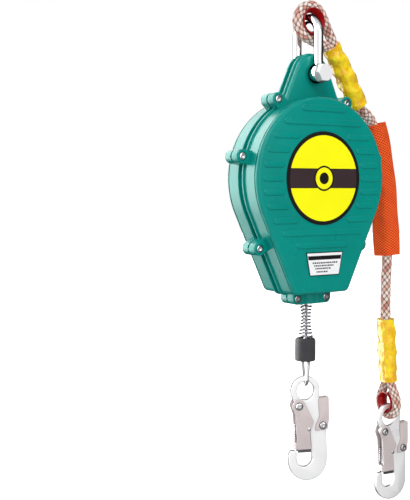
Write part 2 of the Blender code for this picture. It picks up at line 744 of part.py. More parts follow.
def lanyard():
    half_gap = 0.0018
    hanging = thimble("upper_thimble", UPPER_EYE, (0, 1, 0), 0.011, 0.0126, EYE_ROPE_RADIUS, LANYARD_UPPER)
    leave = UPPER_EYE + (UPPER_SPLICE[0] - UPPER_EYE).normalized() * hanging
    approach = Vector((0.108, 0.0135, 0.082))
    last = UPPER_BEND + (approach - UPPER_BEND).normalized() * half_gap
    path = [leave, *UPPER_SPLICE, approach, last]
    rope = eye_rope("lanyard_rope_upper", UPPER_EYE, (0, 1, 0), hanging, path)
    piece(rope, ROPE, LANYARD_UPPER)
    splice_sleeve("splice_sleeve_upper", UPPER_SPLICE, LANYARD_UPPER)

    line = [(0.130, 0.035), (0.138, -0.007), (0.144, -0.055)]
    middle = smooth_path([UPPER_BEND, *[(x, LANYARD_Y, z) for x, z in line], LOWER_BEND], 3)
    middle[0] += (middle[1] - middle[0]).normalized() * half_gap
    middle[-1] += (middle[-2] - middle[-1]).normalized() * half_gap
    piece(tube("lanyard_rope_middle", middle, ROPE_RADIUS), ROPE, LANYARD_MIDDLE)
    cover_line = [*middle]
    cover_line[0] = middle[0] + (middle[1] - middle[0]).normalized() * 0.0012
    cover_line[-1] = middle[-1] + (middle[-2] - middle[-1]).normalized() * 0.0012
    sleeve = loft("wear_sleeve", cover_line, WEAR_ACROSS, WEAR_HALF_WIDTH, WEAR_HALF_THICKNESS)
    longer = [middle[0] * 2 - middle[1], *middle[1:-1], middle[-1] * 2 - middle[-2]]
    carve(sleeve, tube("bore", longer, ROPE_RADIUS + 0.0004))
    piece(sleeve, ORANGE_WEBBING, LANYARD_MIDDLE)

    across = Vector((math.cos(LANYARD_HOOK_YAW), math.sin(LANYARD_HOOK_YAW), 0))
    lower = thimble("lower_thimble", LOWER_EYE, across, 0.0095, 0.0109, 0.0062, LANYARD_LOWER)
    bend_out = Vector((0.1465, LANYARD_Y, -0.140))
    first = LOWER_BEND + (bend_out - LOWER_BEND).normalized() * half_gap
    path = [first, bend_out, *LOWER_SPLICE, LOWER_EYE + Vector((0, 0, lower))]
    rope = eye_rope("lanyard_rope_lower", LOWER_EYE, across, lower, path)
    piece(rope, ROPE, LANYARD_LOWER)
    splice_sleeve("splice_sleeve_lower", LOWER_SPLICE, LANYARD_LOWER)


# ---------------------------------------------------------------- snap hooks


def hook_outline():
    """Ring, spine and hooked nose, counterclockwise from the ring's right side."""
    ring = arc(HOOK_EYE, HOOK_EYE_OUTER, -15, 200, 14)
    neck = [*arc(GATE_PIVOT, 0.006, 150, 255, 5), (-0.004, -0.044), (0.005, -0.060)]
    spine = [(0.006, -0.066), (0.008, -0.084)]
    bowl = arc((-0.0006, -0.100), 0.0102, 0, -170, 10)
    nose = [(-0.0107, -0.092), (-0.013, -0.0895), (-0.018, -0.0895), (-0.0208, -0.094)]
    outside = arc((0.0039, -0.103), 0.0247, 180, 360, 13)
    back = [(0.0275, -0.066), (0.023, -0.050), (0.020, -0.040)]
    return ring + neck + spine + bowl + nose + outside + back


def hook_body(name, frame):
    plate = prism(name, hook_outline(), -HOOK_HALF, HOOK_HALF, [circle(HOOK_EYE, HOOK_EYE_RADIUS, 18)])
    bevel_rim(plate, [-HOOK_HALF, HOOK_HALF], HOOK_CHAMFER, 1)
    for x, z in (GATE_PIVOT, LEVER_PIVOT):
        carve(plate, rod("rivet_hole", (x, -0.01, z), (x, 0.01, z), RIVET_HOLE, 14))
    return hooked(plate, frame, ZINC, frame)


def cheeks(name, outline, near, far, pivot):
    """Two flat side plates, one on each face of the hook body, with the pivot's hole through both."""
    hole = [circle(pivot, RIVET_HOLE, 14)]
    front = prism(name, outline, -far, -near, hole)
    back = prism("back_cheek", outline, near, far, hole)
    return front, back


def gate(name, frame, body):
    """The folded gate: two cheeks on the gate rivet, joined by a web across the hook's mouth."""
    x, z = GATE_PIVOT
    outline = [
        *arc(GATE_PIVOT, 0.0085, 20, 190, 10),
        (-0.0137, -0.035 - 0.010),
        (-0.0107, -0.0875),
        (0.0071, -0.0875),
        (0.0054, -0.073),
        (0.0048, -0.066),
        (0.0077, -0.060),
        (0.0101, -0.0533),
    ]
    front, back = cheeks(name, outline, GATE_NEAR, GATE_FAR, GATE_PIVOT)
    web = [(-0.0132, -0.0795), (-0.0132, -0.0872), (-0.0086, -0.0872), (-0.0086, -0.0795)]
    fuse(front, back, prism("web", web, -GATE_NEAR - 0.0005, GATE_NEAR + 0.0005))
    for side in (-1, 1):
        ends = [(LINK_RIVET[0], side * y, LINK_RIVET[1]) for y in (GATE_FAR - 0.0005, GATE_FAR + 0.0008)]
        fuse(front, rod("link_rivet", *ends, 0.002, 10))
    return hooked(front, frame, ZINC_PLATE, body)


def lever(name, frame, body):
    """The release lever: two cheeks on the lever rivet, joined along the outer edge by a thumb web."""
    outline = [
        (0.0161, -0.0248),
        (0.0298, -0.023),
        (0.0304, -0.050),
        (0.0290, -0.0643),
        (0.0120, -0.0660),
        (0.0130, -0.0573),
        (0.0160, -0.052),
        (0.0179, -0.0463),
        (0.0167, -0.0347),
    ]
    front, back = cheeks(name, outline, LEVER_NEAR, LEVER_FAR, LEVER_PIVOT)
    web = [(0.0284, -0.0236), (0.0297, -0.0234), (0.0302, -0.044), (0.0289, -0.044)]
    fuse(front, back, prism("web", web, -LEVER_NEAR - 0.0005, LEVER_NEAR + 0.0005))
    return hooked(front, frame, ZINC_PLATE, body)


def rivet(name, pivot, half_length, frame, body):
    x, z = pivot
    pin = rod(name, (x, -half_length, z), (x, half_length, z), RIVET_RADIUS, 10)
    for side in (-1, 1):
        ends = [(x, side * y, z) for y in (half_length - 0.0012, half_length)]
        fuse(pin, rod("head", *ends, 0.0042, 10))
    return hooked(pin, frame, BRIGHT_STEEL, body)


def hooked(obj, frame, material, body):
    """Moves a piece drawn in the hook's own axes to the hook's place, its origin on its body's joint."""
    bpy.context.view_layer.update()
    place = frame.matrix_world
    obj.data.transform(body.matrix_world.inverted() @ place)
    obj.matrix_world = body.matrix_world
    return piece(obj, material, body)


def snap_hook(prefix, frame, gate_body, lever_body):
    hook_body(f"{prefix}_body", frame)
    gate(f"{prefix}_gate", frame, gate_body)
    lever(f"{prefix}_lever", frame, lever_body)
    rivet(f"{prefix}_gate_rivet", GATE_PIVOT, 0.0079, frame, frame)
    rivet(f"{prefix}_lever_rivet", LEVER_PIVOT, 0.0062, frame, frame)
    line = coil_points((-0.0108, 0, -0.056), (0, 0, -1), 0.018, lambda t: 0.0026, 5, 8)
    hooked(tube(f"{prefix}_gate_spring", line, 0.0005, 0), frame, SPRING_STEEL, gate_body)


# ---------------------------------------------------------------- cable end


def cable_end():
    tail = rod("cable_tail", (0, 0, -0.113), (0, 0, FERRULE_TOP - 0.002), CABLE_RADIUS, 10)
    piece(tail, WIRE_ROPE, LINE_END)
    profile = [
        (FERRULE_BORE, FERRULE_TOP),
        (FERRULE_RADIUS - 0.0025, FERRULE_TOP),
        (FERRULE_RADIUS, FERRULE_TOP - 0.003),
        (FERRULE_RADIUS, FERRULE_END + 0.001),
        (FERRULE_RADIUS - 0.001, FERRULE_END),
        (FERRULE_BORE, FERRULE_END),
    ]
    piece(turned("ferrule_sleeve", profile, ABOUT_Z, 28), BLACK_RUBBER, LINE_END)

    outlet, waist, seat = 0.0100, 0.0056, 0.0085
    spring_top, spring_end = -0.1400, FERRULE_TOP + 0.0015
    taper = 0.55

    def spring_radius(t):
        upper, lower = max(0.0, 1 - t / taper), max(0.0, (t - taper) / (1 - taper))
        return waist + (outlet - waist) * upper**1.5 + (seat - waist) * lower**2

    line = coil_points((0, 0, spring_top), (0, 0, -1), spring_top - spring_end, spring_radius, 13, 8)
    piece(tube("buffer_spring", line, 0.0009, 0), SPRING_STEEL, LINE_END)

    back = Vector((-math.sin(CABLE_HOOK_YAW), math.cos(CABLE_HOOK_YAW), 0))
    leg, crimp, drop = 0.0028, Vector((0, 0, -0.200)), Vector((0, 0, 0.024))
    left = [crimp - back * leg, crimp - back * leg - drop]
    right = [crimp + back * leg - drop, crimp + back * leg]
    under = arc((0, 0), CABLE_EYE_RADIUS, 170, 370, 14)
    loop = [CABLE_HOOK + back * a + Vector((0, 0, b)) for a, b in under]
    piece(tube("cable_eye", [*left, *loop, *right], CABLE_RADIUS, 2), WIRE_ROPE, LINE_END)


# ---------------------------------------------------------------- build

clear_scene()
PARTS = new_collection("self_retracting_lifeline")
CUTTERS = new_collection("cutters")

TEAL = new_material("teal_enamel", (0.005, 0.25, 0.22), 0.35, 0.0)
BLACK_RUBBER = new_material("black_rubber", (0.05, 0.05, 0.05), 0.6, 0.0)
BLACK_PLASTIC = new_material("black_plastic", (0.03, 0.03, 0.03), 0.5, 0.0)
BRIGHT_STEEL = new_material("bright_steel", (0.75, 0.75, 0.75), 0.25, 1.0)
PRESSED_STEEL = new_material("pressed_steel", (0.62, 0.62, 0.62), 0.4, 1.0)
GREY_STEEL = new_material("grey_steel", (0.45, 0.46, 0.48), 0.4, 1.0)
DARK_STEEL = new_material("dark_steel", (0.2, 0.2, 0.21), 0.45, 1.0)
SPRING_STEEL = new_material("spring_steel", (0.5, 0.5, 0.52), 0.3, 1.0)
CHROME = new_material("chrome", (0.85, 0.85, 0.87), 0.08, 1.0)
ZINC = new_material("zinc_forging", (0.72, 0.72, 0.72), 0.35, 1.0)
ZINC_PLATE = new_material("zinc_plate", (0.62, 0.58, 0.57), 0.4, 1.0)
WIRE_ROPE = new_material("wire_rope", (0.55, 0.55, 0.55), 0.35, 1.0)
DRUM_GREY = new_material("cast_aluminium", (0.5, 0.5, 0.52), 0.5, 1.0)
BRONZE = new_material("bronze", (0.6, 0.4, 0.2), 0.35, 1.0)
FRICTION_LINING = new_material("friction_lining", (0.2, 0.14, 0.1), 0.8, 0.0)
YELLOW_DECAL = new_material("yellow_decal", (0.95, 0.9, 0.02), 0.4, 0.0)
WHITE_LABEL = new_material("white_label", (0.9, 0.9, 0.9), 0.4, 0.0)
RED_THIMBLE = new_material("red_thimble", (0.35, 0.01, 0.01), 0.3, 0.0)
YELLOW_SLEEVE = new_material("yellow_sleeve", (0.85, 0.6, 0.02), 0.4, 0.0)
ORANGE_WEBBING = new_material("orange_webbing", (0.85, 0.12, 0.03), 0.8, 0.0)
ROPE = new_material("rope", (0.8, 0.6, 0.55), 0.8, 0.0)


def at(x, y, z, yaw=0.0):
    return Matrix.Translation((x, y, z)) @ Matrix.Rotation(yaw, 4, "Z")


def in_hook(frame, pivot):
    bpy.context.view_layer.update()
    return frame.matrix_world @ Matrix.Translation((pivot[0], 0, pivot[1]))


HOUSING = new_body("housing", at(0, 0, 0))
DRUM = new_body("drum", at(0, 0, 0), HOUSING)
PAWL_1 = new_body("pawl_pivot_1", at(0, 0, PAWL_PIVOT), DRUM)
PAWL_2 = new_body("pawl_pivot_2", at(0, 0, -PAWL_PIVOT), DRUM)
RATCHET = new_body("ratchet", at(0, 0, 0), HOUSING)
SHACKLE = new_body("shackle", at(0, 0, BOLT_HEIGHT), HOUSING)
LANYARD_UPPER = new_body("lanyard_upper", at(0, 0, SHACKLE_SHOULDER + SHACKLE_HALF_WIDTH), SHACKLE)
LANYARD_MIDDLE = new_body("lanyard_middle", at(*UPPER_BEND), LANYARD_UPPER)
LANYARD_LOWER = new_body("lanyard_lower", at(*LOWER_BEND), LANYARD_MIDDLE)
LANYARD_SNAP = new_body("lanyard_hook", at(*LANYARD_HOOK, LANYARD_HOOK_YAW), LANYARD_LOWER)
LANYARD_GATE = new_body("lanyard_gate", in_hook(LANYARD_SNAP, GATE_PIVOT), LANYARD_SNAP)
LANYARD_LEVER = new_body("lanyard_lever", in_hook(LANYARD_SNAP, LEVER_PIVOT), LANYARD_SNAP)
LINE_END = new_body("line_end", at(0, 0, FERRULE_TOP), HOUSING)
CABLE_SNAP = new_body("cable_hook", at(*CABLE_HOOK, CABLE_HOOK_YAW), LINE_END)
CABLE_GATE = new_body("cable_gate", in_hook(CABLE_SNAP, GATE_PIVOT), CABLE_SNAP)
CABLE_LEVER = new_body("cable_lever", in_hook(CABLE_SNAP, LEVER_PIVOT), CABLE_SNAP)

housing()
drum_and_brake()
shackle()
lanyard()
cable_end()
snap_hook("cable_hook", CABLE_SNAP, CABLE_GATE, CABLE_LEVER)
snap_hook("lanyard_hook", LANYARD_SNAP, LANYARD_GATE, LANYARD_LEVER)
HOUSING.location.y -= REAR_DEPTH
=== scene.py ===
"""Looks for the self retracting lifeline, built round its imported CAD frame.

Shapes are drawn in metres about the point where the drum's axis crosses the parting plane between the covers.
show() then moves them into the row frame, where that plane is at y = PLANE.
"""

import json
from contextlib import contextmanager
from math import acos, asin, atan2, cos, degrees, hypot, pi, radians, sin, sqrt, tan

import bmesh
import bpy
import numpy as np
from mathutils import Matrix, Vector, noise


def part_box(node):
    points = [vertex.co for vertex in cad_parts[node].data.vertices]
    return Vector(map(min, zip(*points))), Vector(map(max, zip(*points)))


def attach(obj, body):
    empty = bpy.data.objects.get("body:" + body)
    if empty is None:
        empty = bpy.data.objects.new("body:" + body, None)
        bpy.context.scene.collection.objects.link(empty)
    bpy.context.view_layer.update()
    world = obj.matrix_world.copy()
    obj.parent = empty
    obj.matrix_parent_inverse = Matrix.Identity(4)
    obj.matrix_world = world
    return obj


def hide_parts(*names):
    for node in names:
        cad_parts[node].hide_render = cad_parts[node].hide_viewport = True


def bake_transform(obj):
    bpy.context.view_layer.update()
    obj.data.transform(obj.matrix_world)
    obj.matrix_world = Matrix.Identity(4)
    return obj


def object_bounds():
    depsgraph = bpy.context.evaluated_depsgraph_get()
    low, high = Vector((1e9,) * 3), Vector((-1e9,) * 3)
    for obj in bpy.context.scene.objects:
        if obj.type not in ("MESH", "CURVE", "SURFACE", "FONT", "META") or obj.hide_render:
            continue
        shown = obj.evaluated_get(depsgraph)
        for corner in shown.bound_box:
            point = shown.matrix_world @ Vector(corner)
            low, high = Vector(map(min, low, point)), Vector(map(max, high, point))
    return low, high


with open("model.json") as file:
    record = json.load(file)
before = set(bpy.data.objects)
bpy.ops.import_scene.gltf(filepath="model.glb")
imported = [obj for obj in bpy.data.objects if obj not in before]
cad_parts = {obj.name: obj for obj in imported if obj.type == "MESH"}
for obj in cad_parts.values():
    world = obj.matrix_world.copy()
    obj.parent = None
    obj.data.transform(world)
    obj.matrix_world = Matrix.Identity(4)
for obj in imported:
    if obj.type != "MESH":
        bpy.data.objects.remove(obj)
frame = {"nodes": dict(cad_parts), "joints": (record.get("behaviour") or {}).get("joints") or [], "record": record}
CAD_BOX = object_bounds()


def joint_place(name):
    """A joint's point, about the drawing origin."""
    found = next(j for j in frame["joints"] if j["name"] == name)
    return Vector(found["pos_m"]) - ORIGIN


def node_box(name):
    """A CAD node's lowest and highest corners, about the drawing origin."""
    return [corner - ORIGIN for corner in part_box(name)]


def node_middle(name):
    low, high = node_box(name)
    return (low + high) / 2


PLANE = sum(corner.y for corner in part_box("parting_gasket")) / 2
ORIGIN = Vector((0, PLANE, 0))

# Housing
FRONT_DEPTH = -node_box("front_cover")[0].y
REAR_DEPTH = node_box("rear_cover")[1].y
BODY_RADIUS = 0.096
BODY_FLOOR = -0.137
SIDE_LEAN = radians(25.5)
CORNER_RADIUS = 0.008
COVER_WALL = 0.003
RIM_BEVEL = 0.004
MATING_GAP = 0.001
EAR_CENTRE = (0.0, 0.121)
EAR_RADIUS = 0.026
EAR_SIDE = radians(24)
EAR_BASE = 0.06
EAR_DEPTH = 0.012
LIP_OUTSET = 0.0022
LIP_NEAR, LIP_FAR = 0.0035, 0.006
LUG_RADIUS = 0.008
LUG_DEPTH = 0.013
FLANGE_LUG = (0.022, -0.1446)
FLANGE_RADIUS = 0.007
COUNTERBORE_RADIUS = 0.0052
COUNTERBORE_DEPTH = 0.003
NECK_RADIUS, NECK_BORE = 0.015, 0.013
NECK_TOP, NECK_END = -0.13, -0.151
BOLT = node_middle("shackle_bolt").z
BOLT_RADIUS = 0.006
GROOVE_NEAR, GROOVE_FAR, GROOVE_SINK = 0.0256, 0.0271, 0.0015
RECESS_SINK = 0.0017
RIB_ROWS = (0.082, 0.066, 0.0495, 0.033, 0.016, 0.0, -0.016, -0.0325, -0.049, -0.064, -0.079)
RIB_CIRCLE, RIB_INNER, RIB_HALF, RIB_RISE = 0.0885, 0.0585, 0.0037, 0.0011
GAP = 0.0003
LAYER = 0.00006

# Hooks, about the middle of the ring's top bar
HOOK_HALF = 0.003
HOOK_EYE = (0.0, -0.015)
HOOK_EYE_RADIUS, HOOK_EYE_OUTER = 0.0114, 0.0184
GATE_PIVOT = (-0.0092, -0.0333)
LEVER_PIVOT = (0.0223, -0.059)
LINK_RIVET = (0.0036, -0.0626)
GATE_NEAR, GATE_FAR = 0.0049, 0.0061
LEVER_NEAR, LEVER_FAR = 0.0033, 0.0045
RIVET_HOLE = 0.0033
SHIM = 0.00005

# Lanyard
ROPE_RADIUS, SLEEVE_RADIUS = 0.007, 0.01
LANYARD_Y = 0.014
UPPER_EYE = node_middle("upper_thimble")
LOWER_EYE = node_middle("lower_thimble")
UPPER_SPLICE = (Vector((0.041, 0.005, 0.162)), Vector((0.093, 0.012, 0.093)))
LOWER_SPLICE = (Vector((0.147, LANYARD_Y, -0.185)), Vector((0.1536, LANYARD_Y, -0.269)))
UPPER_BEND = joint_place("lanyard_upper_bend")
LOWER_BEND = joint_place("lanyard_lower_bend")
EYE_SPREAD = 0.0046
WEAR_LINE = [Vector((x, LANYARD_Y, z)) for x, z in ((0.13, 0.035), (0.138, -0.007), (0.144, -0.055))]
WEAR_ACROSS = Vector((0.782, -0.622, 0.0)).normalized()

XZ_PLANE = Matrix.Rotation(pi / 2, 4, "X")
XY_PLANE = Matrix.Identity(4)
TURN = 2 * pi
ALONG_Y = (0, 1, 0)


# Outlines


def arc(centre, radius, start, end, steps):
    turns = [radians(start + (end - start) * i / steps) for i in range(steps + 1)]
    return [(centre[0] + radius * cos(t), centre[1] + radius * sin(t)) for t in turns]


def circle(radius, steps, centre=(0, 0)):
    return arc(centre, radius, 0, 360, steps)[:-1]


def rounded(points, radius, steps=5):
    """The outline with its sharp corners rounded."""
    made = []
    points = [Vector(point) for point in points]
    for before, here, after in zip(points[-1:] + points, points, points[1:] + points[:1]):
        a, b = before - here, after - here
        reach = min(a.length, b.length) * 0.45
        a.normalize()
        b.normalize()
        angle = a.angle(b)
        if angle > radians(168):
            made.append(tuple(here))
            continue
        cut = min(radius / tan(angle / 2), reach)
        for s in range(steps + 1):
            t = s / steps
            point = (here + a * cut) * (1 - t) ** 2 + here * 2 * t * (1 - t) + (here + b * cut) * t * t
            made.append(tuple(point))
    return made


def stadium(left, right, z, half):
    return arc((right - half, z), half, -90, 90, 14) + arc((left + half, z), half, 90, 270, 14)


def body_outline(inset=0.0):
    radius, floor, corner = BODY_RADIUS - inset, BODY_FLOOR + inset, CORNER_RADIUS - inset
    lean = degrees(SIDE_LEAN)
    x = (radius - corner + (floor + corner) * sin(SIDE_LEAN)) / cos(SIDE_LEAN)
    right = arc((x, floor + corner), corner, -90, -lean, 8)
    top = arc((0, 0), radius, -lean, 180 + lean, 110)
    left = arc((-x, floor + corner), corner, 180 + lean, 270, 8)
    return right + top + left


def ear_outline(inset=0.0):
    radius = EAR_RADIUS - inset
    drop = EAR_CENTRE[1] - EAR_BASE
    half = (radius + drop * sin(EAR_SIDE)) / cos(EAR_SIDE)
    lean = degrees(EAR_SIDE)
    return [(-half, EAR_BASE), (half, EAR_BASE), *arc(EAR_CENTRE, radius, lean, 180 - lean, 36)]


def lug_outline(centre):
    out = Vector((centre[0], centre[1] * 0.55)).normalized()
    angle = degrees(atan2(out.y, out.x))
    side = Vector((-out.y, out.x)) * LUG_RADIUS * 1.05
    root = Vector(centre) - out * (LUG_RADIUS + 0.006)
    return [*arc(centre, LUG_RADIUS, angle - 90, angle + 90, 24), tuple(root + side), tuple(root - side)]


def flange_outline():
    x, z = FLANGE_LUG
    top = BODY_FLOOR + 0.002
    right = arc((x, z), FLANGE_RADIUS, -90, 0, 12)
    left = arc((-x, z), FLANGE_RADIUS, 180, 270, 12)
    return [*right, (x + FLANGE_RADIUS, top), (-x - FLANGE_RADIUS, top), *left]


# Solids


def helper(name, data):
    obj = bpy.data.objects.new(name, data)
    bpy.context.scene.collection.objects.link(obj)
    return obj


def discard(obj):
    bpy.data.objects.remove(obj, do_unlink=True)


@contextmanager
def edited(mesh, *sources):
    """A bmesh of the sources, written to the mesh afterwards."""
    bm = bmesh.new()
    for source in sources:
        bm.from_mesh(source)
    yield bm
    bm.to_mesh(mesh)
    bm.free()


def about_y(x, z):
    """The place of a piece turned about an axis along Y."""
    return Matrix.Translation((x, 0, z)) @ Matrix.Rotation(-pi / 2, 4, "X")


def pointing(start, axis):
    """The place of a piece turned about an axis that starts at a point."""
    return Matrix.Translation(start) @ Vector(axis).to_track_quat("Z", "Y").to_matrix().to_4x4()


def evaluated_mesh(obj):
    bpy.context.view_layer.update()
    graph = bpy.context.evaluated_depsgraph_get()
    return bpy.data.meshes.new_from_object(obj.evaluated_get(graph))


def clean(mesh, place=XY_PLANE):
    with edited(mesh, mesh) as bm:
        bmesh.ops.remove_doubles(bm, verts=bm.verts, dist=1e-6)
        bmesh.ops.transform(bm, matrix=place, verts=bm.verts)
        bmesh.ops.recalc_face_normals(bm, faces=bm.faces)
    return mesh


def curve_to_mesh(name, curve, place=XY_PLANE):
    guide = helper(name + "_guide", curve)
    mesh = clean(evaluated_mesh(guide), place)
    discard(guide)
    bpy.data.curves.remove(curve)
    return helper(name, mesh)


def prism(name, outline, near, far, holes=(), plane=XZ_PLANE):
    """A flat outline extruded from near to far: along Y in the XZ plane, or along Z in the XY plane."""
    curve = bpy.data.curves.new(name, "CURVE")
    curve.dimensions = "2D"
    curve.fill_mode = "BOTH"
    curve.extrude = abs(far - near) / 2
    for ring in (outline, *holes):
        spline = curve.splines.new("POLY")
        spline.points.add(len(ring) - 1)
        for point, (x, y) in zip(spline.points, ring):
            point.co = (x, y, 0.0, 1.0)
        spline.use_cyclic_u = True
    middle = (near + far) / 2
    along = Vector((0.0, middle, 0.0)) if plane is XZ_PLANE else Vector((0.0, 0.0, middle))
    return curve_to_mesh(name, curve, Matrix.Translation(along) @ plane)


def turned(name, profile, place, steps=64):
    """A closed profile of (radius, height) points, turned about the place's own Z axis."""
    mesh = bpy.data.meshes.new(name)
    count = len(profile)
    with edited(mesh) as bm:
        rings = []
        for i in range(steps):
            a = TURN * i / steps
            rings.append([bm.verts.new((r * cos(a), r * sin(a), h)) for r, h in profile])
        for i, ring in enumerate(rings):
            after = rings[(i + 1) % steps]
            for k in range(count):
                n = (k + 1) % count
                if profile[k][0] or profile[n][0]:
                    bm.faces.new((ring[k], after[k], after[n], ring[n]))
    return helper(name, clean(mesh, place))


def box_profile(inner, outer, low, high):
    return [(inner, low), (outer, low), (outer, high), (inner, high)]


def tube(name, points, radius, resolution=5):
    curve = bpy.data.curves.new(name, "CURVE")
    curve.dimensions = "3D"
    curve.bevel_depth = radius
    curve.bevel_resolution = resolution
    curve.use_fill_caps = True
    spline = curve.splines.new("POLY")
    spline.points.add(len(points) - 1)
    for point, co in zip(spline.points, points):
        point.co = (*co, 1.0)
    return curve_to_mesh(name, curve)


def bevel_rim(obj, levels, width, segments):
    """Rounds the edges round a prism's end faces. levels are the Y values of those faces."""
    with edited(obj.data, obj.data) as bm:
        bmesh.ops.dissolve_limit(bm, angle_limit=radians(1), verts=bm.verts, edges=bm.edges)
        rim = []
        for edge in bm.edges:
            on_level = any(all(abs(v.co.y - y) < 1e-6 for v in edge.verts) for y in levels)
            if on_level and edge.calc_face_angle(0.0) > radians(45):
                rim.append(edge)
        bmesh.ops.bevel(bm, geom=rim, offset=width, segments=segments, profile=0.5, affect="EDGES")
    return obj


def softened(name, outline, near, far, width, segments, holes=(), both=False):
    """A prism along Y with the edges of its far face, or of both faces, rounded."""
    return bevel_rim(prism(name, outline, near, far, holes), [near, far] if both else [far], width, segments)


def closed(mesh):
    bm = bmesh.new()
    bm.from_mesh(mesh)
    whole = all(edge.is_manifold for edge in bm.edges)
    bm.free()
    return whole


def combine(obj, others, operation):
    for other in others:
        modifier = obj.modifiers.new(other.name, "BOOLEAN")
        modifier.operation = operation
        modifier.object = other
        mesh = evaluated_mesh(obj)
        if not closed(mesh):
            modifier.solver = "MANIFOLD"
            mesh = evaluated_mesh(obj)
        obj.modifiers.clear()
        used = obj.data
        obj.data = mesh
        bpy.data.meshes.remove(used)
        discard(other)
    return obj


def fuse(obj, *others):
    return combine(obj, others, "UNION")


def carve(obj, *others):
    return combine(obj, others, "DIFFERENCE")


def bore(obj, start, end, radius, steps):
    """Carves a round hole between two points."""
    axis = Vector(end) - Vector(start)
    mesh = bpy.data.meshes.new("bore")
    with edited(mesh) as bm:
        ring = circle(radius, steps)
        low, high = ([bm.verts.new((x, y, z)) for x, y in ring] for z in (0, axis.length))
        for i in range(steps):
            j = (i + 1) % steps
            bm.faces.new((low[i], low[j], high[j], high[i]))
        bm.faces.new(low)
        bm.faces.new(high)
    return carve(obj, helper("bore", clean(mesh, pointing(start, axis))))


def drill(obj, x, z, near, far, radius, steps):
    """Carves a round hole along Y."""
    return bore(obj, (x, near, z), (x, far, z), radius, steps)


def gather(obj, *others):
    """Adds the others' meshes to this one's, for parts that only touch."""
    with edited(obj.data, obj.data, *(other.data for other in others)):
        pass
    for other in others:
        discard(other)
    return obj


# Lines and skins


def smooth_path(points, step):
    """A Catmull-Rom line through the points, as an array of points about one step apart."""
    points = [Vector(p) for p in points]
    ends = [2 * points[0] - points[1], *points, 2 * points[-1] - points[-2]]
    line = []
    for a, b, c, d in zip(ends, ends[1:], ends[2:], ends[3:]):
        for i in range(24):
            t = i / 24
            cubic = (3 * b - 3 * c + d - a) * t**3
            line.append(0.5 * (2 * b + (c - a) * t + (2 * a - 5 * b + 4 * c - d) * t**2 + cubic))
    line = np.array([*line, points[-1]])
    lengths = np.concatenate([[0.0], np.cumsum(np.linalg.norm(np.diff(line, axis=0), axis=1))])
    count = max(2, round(lengths[-1] / step) + 1)
    at = np.linspace(0.0, lengths[-1], count)
    return np.stack([np.interp(at, lengths, line[:, k]) for k in range(3)], axis=1), at


def frames_along(line, first):
    """Two unit vectors across the line at each point, carried along it without twist."""
    tangents = np.gradient(line, axis=0)
    tangents /= np.linalg.norm(tangents, axis=1)[:, None]
    across = np.array(Vector(first))
    sides = []
    for tangent in tangents:
        across = across - tangent * (across @ tangent)
        across = across / np.linalg.norm(across)
        sides.append(across)
    sides = np.array(sides)
    return sides, np.cross(tangents, sides)


def skin(name, points, uvs, shaded_tints=None, ring_closed=False):
    """A mesh over a grid of points, closed round each row. uvs gives U along and V round, in metres."""
    rows, count = points.shape[:2]
    mesh = bpy.data.meshes.new(name)
    u, v = uvs
    faces, corners = [], []
    for i in range(rows if ring_closed else rows - 1):
        k = (i + 1) % rows
        for j in range(count):
            n = (j + 1) % count
            faces.append((i * count + j, i * count + n, k * count + n, k * count + j))
            corners += [u[i], v[j], u[i], v[j + 1], u[i + 1], v[j + 1], u[i + 1], v[j]]
    if not ring_closed:
        faces += [tuple(range(count))[::-1], tuple(range((rows - 1) * count, rows * count))]
        corners += [u[0], 0.0] * count + [u[-1], 0.0] * count
    mesh.from_pydata(points.reshape(-1, 3).tolist(), [], faces)
    mesh.uv_layers.new(name="UVMap").data.foreach_set("uv", np.array(corners, np.float32))
    # The tints hold the strands' colours with painted shade in the crevices between them.
    if shaded_tints is not None:
        colours = mesh.color_attributes.new("tint", "FLOAT_COLOR", "POINT")
        rgba = np.concatenate([shaded_tints.reshape(-1, 3), np.ones((rows * count, 1))], axis=1)
        colours.data.foreach_set("color", rgba.astype(np.float32).ravel())
    with edited(mesh, mesh) as bm:
        bmesh.ops.recalc_face_normals(bm, faces=bm.faces)
    return helper(name, mesh)


def round_angles(count):
    return np.linspace(0, TURN, count, endpoint=False)


def round_lengths(radius, count):
    return np.linspace(0, TURN * radius, count + 1)


def around(line, first, radii, angles, rows=slice(None)):
    """Grid of points at radii[row, column] from the line's rows."""
    a, b = (side[rows, None] for side in frames_along(line, first))
    out = a * np.cos(angles)[None, :, None] + b * np.sin(angles)[None, :, None]
    return line[rows, None] + out * radii[:, :, None]


PALE_STRANDS = [(0.92, 0.74, 0.67), (0.95, 0.82, 0.75), (0.92, 0.76, 0.69)]
RED_STRANDS = [(0.84, 0.47, 0.38), (0.66, 0.27, 0.2), (0.9, 0.62, 0.54)]
STRAND_TINTS = np.array([PALE_STRANDS[0], RED_STRANDS[0], *PALE_STRANDS[1:], *RED_STRANDS[1:]])
PLAITS, PLAIT_PITCH, PLAIT_RISE = 6, 0.05, 0.0013
CABLE_STRANDS, CABLE_LAY = 7, 0.018


def braided(name, path, radius, first=ALONG_Y):
    """A braided rope: two sets of strands wind opposite ways, and each passes over and under the other, with
    painted shade in the crevices between strands.
    """
    line, at = smooth_path(path, 0.0008)
    angles = round_angles(112)
    v = angles[None, :] / TURN
    u = at[:, None] / PLAIT_PITCH
    fa, fb = PLAITS * (v + u), PLAITS * (v - u)
    ia, ib = np.floor(fa), np.floor(fb)
    a, b = np.sin(pi * (fa - ia)), np.sin(pi * (fb - ib))
    first_over = (ia + ib) % 2 == 0
    height = np.where(first_over, a**0.6 * (0.55 + 0.45 * b), b**0.6 * (0.55 + 0.45 * a))
    owner = np.where(first_over, ia, ib + 2).astype(int) % len(STRAND_TINTS)
    # The strand colours darken towards the crevices between strands: painted shade.
    shaded_tints = STRAND_TINTS[owner] * (0.05 + 0.95 * np.clip(height * 1.32, 0, 1) ** 2)[:, :, None]
    points = around(line, first, radius - PLAIT_RISE + PLAIT_RISE * height, angles)
    return skin(name, points, (at, round_lengths(radius, len(angles))), shaded_tints)


